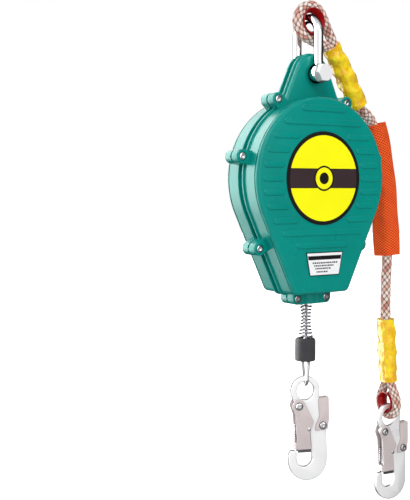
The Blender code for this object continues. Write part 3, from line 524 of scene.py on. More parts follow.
def stranded(name, path, radius, first=(1, 0, 0), step=0.0006):
    """A laid wire cable, whose strands wind one way, with painted shade in the grooves between them."""
    line, at = smooth_path(path, step)
    angles = round_angles(84)
    phase = CABLE_STRANDS / 2 * (angles[None, :] - TURN * at[:, None] / CABLE_LAY)
    bulge = np.abs(np.cos(phase)) ** 0.7
    points = around(line, first, radius * (0.78 + 0.22 * bulge), angles)
    # The grey darkens into the grooves between the strands: painted shade.
    grey = (0.08 + 0.78 * bulge)[:, :, None] * np.array([1.0, 1.0, 1.02])
    return skin(name, points, (at, round_lengths(radius, len(angles))), grey)


# Materials


def srgb(*screen):
    """A screen colour out of 255, in linear light."""
    return tuple((c / 255 / 12.92) if c < 10.3 else ((c / 255 + 0.055) / 1.055) ** 2.4 for c in screen)


def feed(tree, socket, value):
    if isinstance(value, bpy.types.NodeSocket):
        tree.links.new(value, socket)
    elif isinstance(value, tuple) and len(socket.default_value) == 4:
        socket.default_value = (*value, 1.0)
    else:
        socket.default_value = value


def node(tree, kind, inputs=None, **settings):
    made = tree.nodes.new(kind)
    for key, value in settings.items():
        setattr(made, key, value)
    for key, value in (inputs or {}).items():
        feed(tree, made.inputs[key], value)
    return made


def maths(tree, operation, a, b=0.0):
    return node(tree, "ShaderNodeMath", {0: a, 1: b}, operation=operation).outputs[0]


def mixed(tree, factor, a, b, blend="MIX"):
    """Mixes two colours. Each is a socket or an (r, g, b) tuple."""
    return node(tree, "ShaderNodeMix", {0: factor, 6: a, 7: b}, data_type="RGBA", blend_type=blend).outputs[2]


def object_place(tree):
    return node(tree, "ShaderNodeTexCoord").outputs["Object"]


def noise_at(tree, scale, detail=3.0, stretch=(1, 1, 1)):
    placed = node(tree, "ShaderNodeMapping", {"Vector": object_place(tree), "Scale": stretch}).outputs[0]
    return node(tree, "ShaderNodeTexNoise", {"Vector": placed, "Scale": scale, "Detail": detail}).outputs[0]


def ramp(tree, value, low, high, out_low=0.0, out_high=1.0):
    inputs = {"Value": value, "From Min": low, "From Max": high, "To Min": out_low, "To Max": out_high}
    return node(tree, "ShaderNodeMapRange", inputs).outputs[0]


def waves(tree, value, length):
    """A sine of the value, one wave per length."""
    return maths(tree, "SINE", maths(tree, "MULTIPLY", value, TURN / length))


def between(tree, value, low, high, a, b, most=1.0, blend="MIX"):
    """Mixes two colours, as the value rises from low to high."""
    return mixed(tree, ramp(tree, value, low, high, 0.0, most), a, b, blend)


def bumped(tree, height, distance, strength=0.5, edge=0.0):
    """Bump from a height, over edges softened by a radius."""
    inputs = {"Height": height, "Distance": distance, "Strength": strength}
    if edge:
        inputs["Normal"] = node(tree, "ShaderNodeBevel", {"Radius": edge}, samples=6).outputs[0]
    return node(tree, "ShaderNodeBump", inputs).outputs[0]


# Each recipe fills a material's tree and gives its colour, roughness, normal and further shader values.


def painted(tree, colour, roughness, coat=0.0, edge=0.0006, grain=900.0, depth=0.00008, shade=0.1):
    """Paint or moulded plastic: faint cloudiness, a fine skin texture and softened edges."""
    dark = tuple(c * (1 - shade * 2) for c in colour)
    light = tuple(min(1.0, c * (1 + shade)) for c in colour)
    tone = between(tree, noise_at(tree, 26.0), 0.3, 0.7, dark, light)
    rough = ramp(tree, noise_at(tree, 70.0), 0.25, 0.75, roughness * 0.88, roughness * 1.12)
    normal = bumped(tree, noise_at(tree, grain, 2.0), depth, 0.35, edge)
    return tone, rough, normal, {"Coat Weight": coat, "Coat Roughness": 0.12, "Specular IOR Level": 0.2}


def metal(
    tree, colour, roughness, edge=0.0004,
    grain=220.0, stretch=12, depth=0.00003, stain=0.12, pure=1.0, rim=0.0,
):
    """Bare or plated metal: drawn grain, patchy sheen, softened edges, and a painted dark reflection where it
    turns away.
    """
    lines = noise_at(tree, grain, 3.0, (1, 1, stretch))
    dark = tuple(c * (1 - stain * 2) for c in colour)
    tone = between(tree, noise_at(tree, 42.0, 4.0), 0.35, 0.7, dark, colour)
    extra = {"Metallic": pure}
    # rim mixes in a painted dark reflection towards the edges that turn away from the view.
    if rim:
        away = node(tree, "ShaderNodeLayerWeight", {"Blend": 0.5}).outputs["Facing"]
        tone = between(tree, away, 0.27, 0.55, tone, (0.02, 0.02, 0.022), rim)
        extra["Specular Tint"] = (0.04, 0.04, 0.04)
    rough = ramp(tree, lines, 0.3, 0.7, roughness * 0.8, roughness * 1.25)
    return tone, rough, bumped(tree, lines, depth, 0.25, edge), extra


def strands(tree, scale, detail, stretch, low, worn, most):
    """Strand colours from the mesh, with painted shade between strands, worn by fibres or wires drawn along it."""
    tint = node(tree, "ShaderNodeAttribute", attribute_name="tint").outputs["Color"]
    fibres = noise_at(tree, scale, detail, (1, 1, stretch))
    return fibres, between(tree, fibres, low, 0.7, tint, worn, most, "MULTIPLY")


def rope_fibres(tree):
    fibres, tone = strands(tree, 900.0, 3.0, 0.35, 0.35, (0.9, 0.82, 0.76), 0.35)
    tone = between(tree, noise_at(tree, 60.0), 0.5, 0.8, tone, (0.6, 0.38, 0.32), 0.15)
    return tone, 0.85, bumped(tree, fibres, 0.0003, 0.6), {"Sheen Weight": 0.35, "Sheen Roughness": 0.5}


def cable_wires(tree):
    wires, tone = strands(tree, 1500.0, 2.0, 0.3, 0.3, (0.55, 0.55, 0.56), 0.5)
    return tone, 0.32, bumped(tree, wires, 0.00015), {"Metallic": 1.0}


def wound_turns(tree):
    """The layers on the drum: fine turns drawn round the shaft, with painted shade in the grooves between them."""
    turns = waves(tree, node(tree, "ShaderNodeSeparateXYZ", {0: object_place(tree)}).outputs[1], 0.0035)
    # Dark where the turns dip: painted shade in the grooves between turns.
    tone = between(tree, turns, -1, 0.4, (0.08, 0.08, 0.08), (0.62, 0.62, 0.63))
    return tone, 0.35, bumped(tree, turns, 0.0006, 0.7), {"Metallic": 1.0}


def webbing(tree):
    """Tight tubular weave, from lengths along and round the sleeve, with painted shade where the weave sinks."""
    lengths = node(tree, "ShaderNodeUVMap", uv_map="UVMap").outputs[0]
    along, across = node(tree, "ShaderNodeSeparateXYZ", {0: lengths}).outputs[:2]
    weave = maths(tree, "MULTIPLY", waves(tree, along, 0.0036), waves(tree, across, 0.0034))
    # The weave's low cells turn dark red: painted shade in the weave's hollows.
    tone = between(tree, weave, -0.85, 0.3, srgb(150, 20, 10), srgb(255, 104, 42))
    tone = between(tree, noise_at(tree, 32.0), 0.45, 0.8, tone, srgb(222, 52, 20), 0.35)
    height = maths(tree, "ADD", weave, maths(tree, "MULTIPLY", noise_at(tree, 500.0), 0.5))
    extra = {"Sheen Weight": 0.08, "Sheen Roughness": 0.4, "Specular IOR Level": 0.12}
    return tone, 0.8, bumped(tree, height, 0.0004, 0.7), extra


def shrunk_film(tree):
    """Shrunk yellow plastic film: glossy, with painted shade in the hollows of its folds and brownish streaks."""
    folds = noise_at(tree, 85.0, 4.0)
    streak = noise_at(tree, 300.0, 3.0, (1, 1, 0.25))
    # Darker yellow where the folds sink: painted shade in the folds' hollows.
    tone = between(tree, folds, 0.38, 0.62, srgb(240, 180, 2), srgb(255, 226, 6))
    tone = between(tree, streak, 0.66, 0.85, tone, srgb(196, 136, 6), 0.25)
    rough = ramp(tree, streak, 0.3, 0.7, 0.24, 0.42)
    return tone, rough, bumped(tree, folds, 0.0012), {"Coat Weight": 0.35}


def lining(tree):
    chips = noise_at(tree, 700.0, 4.0)
    tone = between(tree, chips, 0.45, 0.62, (0.1, 0.07, 0.05), (0.34, 0.26, 0.17))
    return tone, 0.85, bumped(tree, chips, 0.0002, 0.6), {}


def material(name, recipe, *values):
    made = bpy.data.materials.new(name)
    made.use_nodes = True
    colour, roughness, normal, extra = recipe(made.node_tree, *values)
    inputs = {"Base Color": colour, "Roughness": roughness, **extra}
    if normal:
        inputs["Normal"] = normal
    for key, value in inputs.items():
        feed(made.node_tree, made.node_tree.nodes["Principled BSDF"].inputs[key], value)
    return made


# Each row holds a recipe and the values that it takes, in order.
LOOK_ROWS = {
    "teal_enamel": (painted, srgb(0, 140, 129), 0.3, 0.0, 0.0007, 900.0, 0.00008, 0.035),
    "black_rubber": (painted, srgb(64, 64, 66), 0.55, 0.0, 0.0005, 1400.0, 0.00012, 0.16),
    "black_plastic": (painted, srgb(30, 30, 32), 0.42, 0.1, 0.0003),
    "yellow_decal": (painted, srgb(252, 248, 6), 0.45, 0.0, 0.0, 600.0, 0.00003, 0.015),
    "white_label": (painted, srgb(246, 246, 247), 0.4, 0.2, 0.0, 600.0, 0.00003, 0.015),
    "decal_black": (painted, srgb(20, 18, 20), 0.5, 0.0, 0.0, 600.0, 0.00003, 0.08),
    "decal_band": (painted, srgb(58, 42, 46), 0.5, 0.0, 0.0, 600.0, 0.00003, 0.05),
    "red_thimble": (painted, srgb(158, 8, 10), 0.28, 0.2, 0.0003, 500.0, 0.00006, 0.12),
    "bright_steel": (metal, (0.86, 0.86, 0.87), 0.2, 0.0003),
    "pressed_steel": (metal, (0.66, 0.66, 0.67), 0.36),
    "grey_steel": (metal, (0.46, 0.47, 0.49), 0.38),
    "dark_steel": (metal, (0.2, 0.2, 0.21), 0.42),
    "spring_steel": (metal, (0.42, 0.42, 0.44), 0.22, 0.0),
    # The last value in the chrome, zinc_forging and bolt_zinc rows is rim, the strength of their painted dark edge
    # reflection.
    "chrome": (metal, (0.9, 0.9, 0.91), 0.07, 0.0006, 60.0, 1, 0.00001, 0.02, 1.0, 1.0),
    "zinc_forging": (metal, (0.93, 0.93, 0.935), 0.34, 0.0006, 60.0, 1, 0.00001, 0.015, 0.25, 0.85),
    "zinc_plate": (metal, (0.66, 0.58, 0.57), 0.42, 0.0003, 260.0, 10, 0.00002, 0.04, 0.15),
    "bolt_zinc": (metal, (0.97, 0.97, 0.975), 0.2, 0.0005, 60.0, 1, 0.00001, 0.01, 0.2, 0.7),
    "cast_aluminium": (metal, (0.55, 0.55, 0.57), 0.48, 0.0005, 400.0, 1, 0.00008),
    "bronze": (metal, (0.62, 0.4, 0.19), 0.34),
    "wire_rope": (cable_wires,),
    "wound_wire_rope": (wound_turns,),
    "friction_lining": (lining,),
    "yellow_sleeve": (shrunk_film,),
    "orange_webbing": (webbing,),
    "rope": (rope_fibres,),
}
LOOKS = {name: material(name, *row) for name, row in LOOK_ROWS.items()}


def dress(obj, look):
    obj.data.name = obj.name
    obj.data.materials.clear()
    obj.data.materials.append(look)
    obj.data.shade_smooth()
    obj.data.set_sharp_from_angle(angle=radians(33))


def show(obj, slot, body, *nodes, look=None):
    """Moves a finished shape into the row frame, to ride on a body in place of CAD nodes."""
    obj.data.transform(Matrix.Translation(ORIGIN))
    dress(obj, LOOKS[look or slot])
    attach(obj, body)
    if nodes:
        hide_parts(*nodes)


def show_across(obj, slot, bodies, start, end, *nodes):
    """Like show(), for a piece that reaches from one body to the next between two points, but it stays in the row
    frame on neither body; bodies, start and end are not used.
    """
    obj.data.transform(Matrix.Translation(ORIGIN))
    dress(obj, LOOKS[slot])
    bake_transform(obj)
    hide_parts(*nodes)


# Housing


SCREWS = [node_middle(f"cover_screw_{i}") for i in range(1, 9)]


def body_and_ear(inset, near, far):
    """The covers' whole outline as a slab."""
    slab = prism("slab", body_outline(inset), near, far)
    return fuse(slab, prism("ear_slab", ear_outline(inset), near, far))


def outlet(obj):
    """Carves the cable's way out of the neck."""
    return bore(obj, (0, 0, NECK_END - 0.01), (0, 0, NECK_TOP + 0.01), NECK_BORE, 64)


def cover(name, side, depth):
    near, far, ear_far, lug_far = (side * y for y in (MATING_GAP, depth, EAR_DEPTH, LUG_DEPTH))
    shell = softened(name, body_outline(), near, far, RIM_BEVEL, 6)
    fuse(shell, softened("ear", ear_outline(), near, ear_far, 0.003, 5))
    lip = (side * LIP_NEAR, side * LIP_FAR)
    for outline in (body_outline(-LIP_OUTSET), ear_outline(-LIP_OUTSET)):
        fuse(shell, softened("lip", outline, *lip, 0.0006, 3, both=True))
    recess = body_and_ear(-0.001, side * MATING_GAP * 0.5, lip[0])
    carve(shell, carve(recess, body_and_ear(RECESS_SINK, -0.01, 0.01)))
    lugs = [lug_outline((place.x, place.z)) for place in SCREWS if place.z > FLANGE_LUG[1] + 0.01]
    for outline in (*lugs, flange_outline()):
        fuse(shell, softened("lug", outline, near, lug_far, 0.0014, 4))
    half_neck = arc((0, near), NECK_RADIUS, 0, side * 180, 40)
    fuse(shell, prism("neck", half_neck, NECK_TOP, NECK_END, plane=XY_PLANE))
    carve(shell, prism("hollow", body_outline(COVER_WALL), -near, side * (depth - COVER_WALL)))
    carve(shell, prism("ear_hollow", ear_outline(COVER_WALL), -near * 1.1, side * (EAR_DEPTH - COVER_WALL)))
    outlet(shell)
    drill(shell, 0, BOLT, -0.05, 0.05, BOLT_RADIUS + 0.0006, 48)
    groove = [body_outline(GROOVE_SINK)]
    carve(shell, prism("groove", body_outline(-0.004), side * GROOVE_NEAR, side * GROOVE_FAR, groove))
    if side < 0:
        for place in SCREWS:
            drill(shell, place.x, place.z, -0.02, 0.0, 0.0023, 24)
            drill(shell, place.x, place.z, -0.02, -LUG_DEPTH + COUNTERBORE_DEPTH, COUNTERBORE_RADIUS, 40)
    return shell


def ribs():
    """Low round-ended ribs across the front face, which stop short of the decal."""
    made = []
    for z in RIB_ROWS:
        tip = sqrt(RIB_CIRCLE**2 - z**2)
        nearest = max(abs(z) - RIB_HALF, 0.0)
        if nearest < RIB_INNER:
            inner = sqrt(RIB_INNER**2 - nearest**2)
            spans = [(-tip, -inner), (inner, tip)]
        else:
            spans = [(-tip, tip)]
        for span in spans:
            outline = stadium(*span, z, RIB_HALF)
            made.append(softened("rib", outline, -FRONT_DEPTH + 0.0006, -FRONT_DEPTH - RIB_RISE, 0.0008, 4))
    return made


def housing():
    front = cover("front_cover_shell", -1, FRONT_DEPTH)
    show(gather(front, *ribs()), "teal_enamel", "housing", "front_cover")
    show(cover("rear_cover_shell", 1, REAR_DEPTH), "teal_enamel", "housing", "rear_cover")

    seal = body_and_ear(RECESS_SINK - GAP, -0.0009, 0.0009)
    seal.name = "gasket_strip"
    carve(seal, prism("inside", body_outline(COVER_WALL), -0.01, 0.01))
    carve(seal, prism("ear_inside", ear_outline(COVER_WALL), -0.011, 0.011))
    show(outlet(seal), "black_rubber", "housing", "parting_gasket")
    for number, place in enumerate(SCREWS, 1):
        socket_screw(number, place)


def socket_screw(number, place):
    """A cap screw with a chamfered head and a hexagon socket."""
    seat, front, tip = -LUG_DEPTH + COUNTERBORE_DEPTH - GAP, -LUG_DEPTH - 0.0004, 0.0095
    radius, shank = 0.0045, 0.002
    profile = [(0.0, front), (radius - 0.0007, front), (radius - 0.0002, front + 0.0002)]
    profile += [(radius, front + 0.0007), (radius, seat), (shank, seat), (shank, tip), (0.0, tip)]
    screw = turned(f"socket_screw_{number}", profile, about_y(place.x, place.z), 40)
    carve(screw, prism("socket", circle(0.0024, 6, (place.x, place.z)), front - 0.001, front + 0.0022))
    show(screw, "bright_steel", "housing", f"cover_screw_{number}")


def decal():
    """A generic round sticker: two yellow fields, a dark band and a ring, each a thin layer of its own."""
    low, high = node_box("front_decal")
    radius = (high.x - low.x) / 2
    inner, band = radius - 0.0046, 0.01075
    angle = degrees(asin(band / inner))

    def layer(name, outline, number, holes=()):
        return prism(name, outline, low.y - LAYER * number, low.y, holes)

    def stick(obj, *nodes, look="yellow_decal"):
        show(obj, "yellow_decal", "housing", *nodes, look=look)

    base = prism("decal_base", circle(radius, 128), low.y, high.y)
    stick(base, "front_decal", look="decal_black")
    ends = arc((0, 0), inner, -angle, angle, 8) + arc((0, 0), inner, 180 - angle, 180 + angle, 8)
    stick(layer("decal_band", ends, 1), look="decal_band")
    upper = layer("decal_fields", arc((0, 0), inner, angle + 1, 179 - angle, 90), 2)
    stick(gather(upper, layer("lower_field", arc((0, 0), inner, 181 + angle, 359 - angle, 90), 2)))
    stick(layer("decal_ring_line", circle(0.015, 72), 3), look="decal_black")
    stick(layer("decal_ring", circle(0.0128, 72), 4, [circle(0.007, 48)]))


def label():
    """A plain plate with a header bar and rows of blank dashes in place of text."""
    low, high = node_box("rating_label")
    wide, tall = high.x - low.x, high.z - low.z
    foot = 0.0447
    narrow = (wide - foot) / 2

    def slab(name, s0, s1, t0, t1, near, far):
        """A piece of the plate. s runs across it and t down it, both from 0 to 1."""
        corners = []
        for s, t in ((s0, t0), (s0, t1), (s1, t1), (s1, t0)):
            inset = narrow * t
            corners.append((low.x + inset + s * (wide - 2 * inset), high.z - t * tall))
        return prism(name, corners, near, far)

    def bar(s0, s1, t0, t1):
        return slab("bar", s0, s1, t0, t1, low.y - LAYER, low.y + 0.0001)

    # A black slab behind the plate shows as a dark edge round it: painted shadow.
    shadow_edge = slab("label_border", 0, 1, 0, 1, low.y, high.y)
    show(shadow_edge, "white_label", "housing", "rating_label", look="decal_black")
    show(slab("label_plate", 0.02, 0.98, 0.035, 0.965, low.y - 0.00005, low.y), "white_label", "housing")
    bars = [bar(0.03, 0.97, 0.15, 0.32)]
    for row, t in enumerate((0.42, 0.54, 0.66, 0.8)):
        s = 0.14 + 0.03 * row
        for i in range(12 - 2 * row):
            length = 0.035 + 0.02 * ((i * 5 + row * 3) % 3) / 2
            bars.append(bar(s, s + length, t, t + 0.065))
            s += length + 0.018
    show(gather(*bars), "white_label", "housing", look="decal_black")


# Shackle


def hexagon_block(name, near, far, radius, chamfer):
    """A hexagon with its corners turned off. chamfer names the ends that are."""
    block = prism(name, circle(radius, 6, (0, BOLT)), near, far)
    low, high = min(near, far), max(near, far)
    flat, drop = radius * 0.88, 0.0011
    profile = [(0.0, low)]
    profile += [(flat, low), (radius * 1.01, low + drop)] if "low" in chamfer else [(radius * 1.2, low)]
    profile += [(radius * 1.01, high - drop), (flat, high)] if "high" in chamfer else [(radius * 1.2, high)]
    profile.append((0.0, high))
    cone = turned("cone", profile, about_y(0, BOLT), 72)
    return combine(block, [cone], "INTERSECT")


def shackle():
    low, high = node_box("shackle_bow")
    rod_radius, eye_half = 0.0055, 0.006
    half = high.y - eye_half
    crown = [(0, y, z) for y, z in arc((0, high.z - rod_radius - half), half, 0, 180, 64)]
    bow = tube("bow", [(0, half, BOLT + 0.004), *crown, (0, -half, BOLT + 0.004)], rod_radius, 10)
    eye, hole, soft, edge = (high.x - low.x) / 2, BOLT_RADIUS + GAP, 0.0014, 0.0005
    for side in (-1, 1):
        a, b = side * half - eye_half, side * half + eye_half
        corners = [(eye, a + soft), (eye, b - soft), (eye - soft * 0.3, b - soft * 0.3), (eye - soft, b)]
        corners += [(hole + edge, b), (hole, b - edge), (hole, a + edge), (hole + edge, a)]
        corners += [(eye - soft, a), (eye - soft * 0.3, a + soft * 0.3)]
        boss = turned("boss", corners, about_y(0, BOLT), 72)
        drill(bow, 0, BOLT, a - 0.001, b + 0.001, hole, 72)
        fuse(bow, boss)
    show(bow, "chrome", "shackle", "shackle_bow")

    head_low, bolt_high = node_box("shackle_bolt")
    nut_low, nut_high = node_box("shackle_nut")
    outside = half + eye_half + GAP
    hex_radius = max((nut_high.z - nut_low.z) / 2, (nut_high.x - nut_low.x) / 2)
    head = hexagon_block("clevis_bolt", head_low.y, -outside, hex_radius, ("low",))
    y = outside + 0.0005
    profile = [(0.0, -outside - 0.002), (BOLT_RADIUS, -outside - 0.002), (BOLT_RADIUS, y)]
    while y < bolt_high.y - 0.0016:
        profile += [(BOLT_RADIUS - 0.0007, y + 0.0006), (BOLT_RADIUS, y + 0.0012)]
        y += 0.00125
    profile += [(BOLT_RADIUS - 0.001, bolt_high.y), (0.0, bolt_high.y)]
    fuse(head, turned("shank", profile, about_y(0, BOLT), 56))
    show(head, "chrome", "shackle", "shackle_bolt", look="bolt_zinc")

    nut = hexagon_block("clevis_nut", outside, nut_high.y, hex_radius, ("low", "high"))
    drill(nut, 0, BOLT, 0.02, 0.05, BOLT_RADIUS + 0.0001, 56)
    show(nut, "chrome", "shackle", "shackle_nut", look="bolt_zinc")


# Lanyard


def thimble(name, centre, axis, hole, groove, rope, body, node_name):
    """A grooved ring. Returns the radius at which the rope's middle lies in it."""
    seat = rope + 0.0004
    half, lip, flare, edge = seat * 0.88, 0.0022, 0.004, 0.0006
    channel = arc((groove + seat, 0), seat, 180 - 62, 180 + 62, 18)
    inside = [(hole + flare * (i / 6 - 1) ** 2, (half + lip) * (i / 6 - 1)) for i in range(13)]
    rim = channel[0][0]
    profile = [(rim - edge, half + lip), (rim, half + lip - edge), *channel]
    profile += [(rim, -half - lip + edge), (rim - edge, -half - lip), *inside]
    show(turned(name, profile, pointing(centre, axis), 96), "red_thimble", body, node_name)
    return groove + seat


def eye_path(centre, axis, radius, mouth, inner, spread):
    """A rope's way out of a sleeve's mouth, round a thimble and back in."""
    axis = Vector(axis).normalized()
    out = mouth - centre
    flat = (out - axis * out.dot(axis)).normalized()
    side = axis.cross(flat)
    reach = (out - axis * out.dot(axis)).length
    angle = atan2(spread, reach) + acos(radius / hypot(reach, spread))
    turns = np.linspace(angle, TURN - angle, 22)
    loop = [centre + flat * radius * cos(t) + side * radius * sin(t) for t in turns]
    legs = []
    for sign in (1, -1):
        foot = mouth + side * spread * sign
        legs.append([inner + side * spread * sign * 0.4, foot, foot.lerp(loop[0 if sign > 0 else -1], 0.5)])
    return [*legs[0], *loop, *legs[1][::-1]]


def film_sleeve(name, ends, body, node_name, seed, across):
    """Film shrunk over the tucked rope. It is widest where across, a sine or a cosine, is largest."""
    start, end = ends
    line, at = smooth_path([start, start.lerp(end, 0.5), end], 0.0011)
    angles = round_angles(96)
    count, length, rope = len(angles), at[-1], ROPE_RADIUS + 0.0002
    radii = np.zeros((len(at), count))
    for i, s in enumerate(at):
        fade = min(1.0, s / 0.006, (length - s) / 0.006)
        swell = 0.0007 * sin(pi * s / length)
        for j, a in enumerate(angles):
            p = Vector((cos(a) * 1.1, sin(a) * 1.1, s * 62 + seed))
            fold = noise.noise(p) + 0.5 * noise.noise(p * 2.3) + 0.25 * noise.noise(p * 5.1)
            spiral = sin(2 * a + s * 260 + seed)
            broad = 0.0004 + 0.0016 * abs(across(a)) ** 1.5
            radii[i, j] = SLEEVE_RADIUS + broad + swell + fade * (0.0014 * fold + 0.0007 * spiral)
    lip = np.linspace(0, 1, 5)[1:-1, None]
    first = rope + (radii[:1] - rope) * np.sqrt(lip)
    last = rope + (radii[-1:] - rope) * np.sqrt(lip[::-1])
    grid = np.concatenate([np.full((1, count), rope), first, radii, last, np.full((1, count), rope)])
    along = np.concatenate([[0.0] * 4, at, [length] * 4, [0.0]])
    rows = [0] * 4 + list(range(len(at))) + [len(at) - 1] * 4
    points = around(line, ALONG_Y, grid, angles, rows)
    sleeve = skin(name, points, (along, round_lengths(SLEEVE_RADIUS, count)), ring_closed=True)
    show(sleeve, "yellow_sleeve", body, node_name)


def wear_sleeve():
    """A flat woven tube, stretched over the rope in its middle and pressed flat at its edges."""
    wide, flat_edge, bulge, wall, girth = 0.017, 0.0017, 0.0071, 0.0013, 0.074
    line, at = smooth_path([UPPER_BEND, *WEAR_LINE, LOWER_BEND], 0.0018)
    turns = round_angles(120)
    sides, thins = frames_along(line, WEAR_ACROSS)

    def ring(row, inset):
        s = at[row]
        x = (wide - inset) * np.cos(turns) * (1 + 0.025 * sin(s * 95))
        wave = 0.0006 * np.sin(s * 120 + turns * 3) + 0.0004 * np.sin(s * 300 + turns * 5)
        y = np.sign(np.sin(turns)) * np.abs(np.sin(turns)) ** 0.45
        y = y * (flat_edge + bulge * np.exp(-((x / 0.0095) ** 2)) + wave - inset)
        return line[row] + sides[row] * x[:, None] + thins[row] * y[:, None]

    outer = [ring(i, 0.0) for i in range(len(at))]
    inner = [ring(i, wall) for i in range(len(at))][::-1]
    uvs = (np.concatenate([at, at[::-1], [0.0]]), np.linspace(0, girth, len(turns) + 1))
    sleeve = skin("wear_tube", np.array(outer + inner), uvs, ring_closed=True)
    show(sleeve, "orange_webbing", "lanyard_middle", "wear_sleeve")


def rope_end(prefix, level, centre, axis, ends, hole, groove, rope, tuck, seed, across):
    """A spliced eye: its thimble, the rope round it and the film over the splice."""
    body = f"lanyard_{level}"
    seat = thimble(f"{prefix}_thimble", centre, axis, hole, groove, rope, body, f"{level}_thimble")
    mouth, far = ends if level == "upper" else ends[::-1]
    path = eye_path(centre, axis, seat, mouth, mouth.lerp(far, tuck), EYE_SPREAD)
    show(braided(f"{prefix}_eye_rope", path, rope, axis), "rope", body)
    film_sleeve(f"{prefix}_splice_film", ends, body, f"splice_sleeve_{level}", seed, across)


def towards(point, target, reach):
    return point + (target - point).normalized() * reach


def lanyard():
    top, middle, bottom = WEAR_LINE
    rope_end(
        "anchor", "upper", UPPER_EYE, ALONG_Y, UPPER_SPLICE,
        hole=0.011, groove=0.0126, rope=0.0065, tuck=0.25, seed=3.0, across=sin,
    )
    wear_sleeve()
    yaw = HOOKS["lanyard"][1]
    rope_end(
        "hook", "lower", LOWER_EYE, (cos(yaw), sin(yaw), 0), LOWER_SPLICE,
        hole=0.0095, groove=0.0109, rope=0.0062, tuck=0.2, seed=11.0, across=cos,
    )

    # The standing ropes bend at the two ends of the woven sleeve, and meet inside it.
    loose, stiff = 0.022, 0.004
    inner, outer = UPPER_SPLICE[0].lerp(UPPER_SPLICE[1], 0.4), Vector((0.108, 0.0135, 0.082))
    path = [inner, UPPER_SPLICE[1], outer, UPPER_BEND, top, middle]
    rope = braided("standing_rope_upper", path, ROPE_RADIUS)
    span = towards(UPPER_BEND, outer, loose), towards(UPPER_BEND, top, stiff)
    nodes = "lanyard_rope_upper", "lanyard_rope_middle"
    show_across(rope, "rope", ("lanyard_upper", "lanyard_middle"), *span, *nodes)

    outer, inner = Vector((0.1465, LANYARD_Y, -0.14)), LOWER_SPLICE[0].lerp(LOWER_SPLICE[1], 0.6)
    path = [towards(middle, bottom, 0.0015), bottom, LOWER_BEND, outer, LOWER_SPLICE[0], inner]
    rope = braided("standing_rope_lower", path, ROPE_RADIUS)
    span = towards(LOWER_BEND, bottom, stiff), towards(LOWER_BEND, outer, loose)
    show_across(rope, "rope", ("lanyard_middle", "lanyard_lower"), *span, "lanyard_rope_lower")


# Hooks


HOOKS = {
    "cable": (joint_place("cable_hook_swing"), radians(-20)),
    "lanyard": (joint_place("lanyard_hook_swing"), radians(-6)),
}


def hook_outline():
    ring = arc(HOOK_EYE, HOOK_EYE_OUTER, -15, 200, 48)
    neck = [*arc(GATE_PIVOT, 0.006, 150, 255, 14), (-0.004, -0.044), (0.005, -0.06), (0.006, -0.066)]
    neck.append((0.008, -0.084))
    bowl = arc((-0.0006, -0.1), 0.0102, 0, -170, 36)
    nose = [(-0.0107, -0.092), (-0.013, -0.0895), (-0.018, -0.0895), (-0.0208, -0.094)]
    outside = arc((0.0039, -0.103), 0.0247, 180, 360, 48)
    back = [(0.0283, -0.085), (0.0275, -0.066), (0.0253, -0.057), (0.023, -0.05), (0.0208, -0.043)]
    back.append((0.0192, -0.034))
    return ring + neck + bowl + nose + outside + back


def gate_outline():
    left = [*arc(GATE_PIVOT, 0.0085, 20, 190, 28), (-0.0137, -0.045), (-0.0107, -0.0875), (0.0071, -0.0875)]
    right = [(0.0054, -0.073), (0.0048, -0.066), (0.0077, -0.06), (0.0101, -0.0533)]
    return rounded(left + right, 0.0012, 4)


def lever_outline():
    inner = [(0.0167, -0.0347), (0.0179, -0.0463), (0.016, -0.052), (0.013, -0.0573)]
    outer = [(0.012, -0.066), (0.029, -0.0643), (0.0304, -0.05), (0.0298, -0.023), (0.0161, -0.0248)]
    return rounded(inner + outer, 0.0025, 6)


def folded_plate(name, outline, web, near, far, pivot):
    """Two cheeks beside the hook's body, and the web that joins them."""
    hole = [circle(RIVET_HOLE, 32, pivot)]
    cheeks = [softened(name, outline, side * near, side * far, 0.0003, 3, hole) for side in (-1, 1)]
    return gather(*cheeks, prism("web", web, -near - 0.0005, near + 0.0005))


def domed_rivet(name, pivot, half_length):
    """A rivet with a shallow domed, dimpled head at each end."""
    shank, head, tall = 0.003, 0.0042, 0.0012
    top = [(0.0, half_length - 0.0004), (0.0012, half_length - 0.0004), (0.0017, half_length)]
    top += [(0.003, half_length - 0.0001), (0.0038, half_length - 0.0004)]
    top += [(head, half_length - tall + 0.0002), (head, half_length - tall), (shank, half_length - tall)]
    return turned(name, top + [(r, -h) for r, h in reversed(top)], about_y(*pivot), 40)


def on_cheeks(name, profile, pivot, steps):
    """A turned piece outside each cheek. The profile's heights start at the hook's middle."""
    return [turned(name, [(r, side * h) for r, h in profile], about_y(*pivot), steps) for side in (-1, 1)]


def coil(start, length, radius_at, turns, per_turn):
    points = []
    for i in range(turns * per_turn + 1):
        t = i / (turns * per_turn)
        a, radius = TURN * i / per_turn, radius_at(t)
        points.append(Vector(start) + Vector((radius * cos(a), radius * sin(a), -length * t)))
    return points


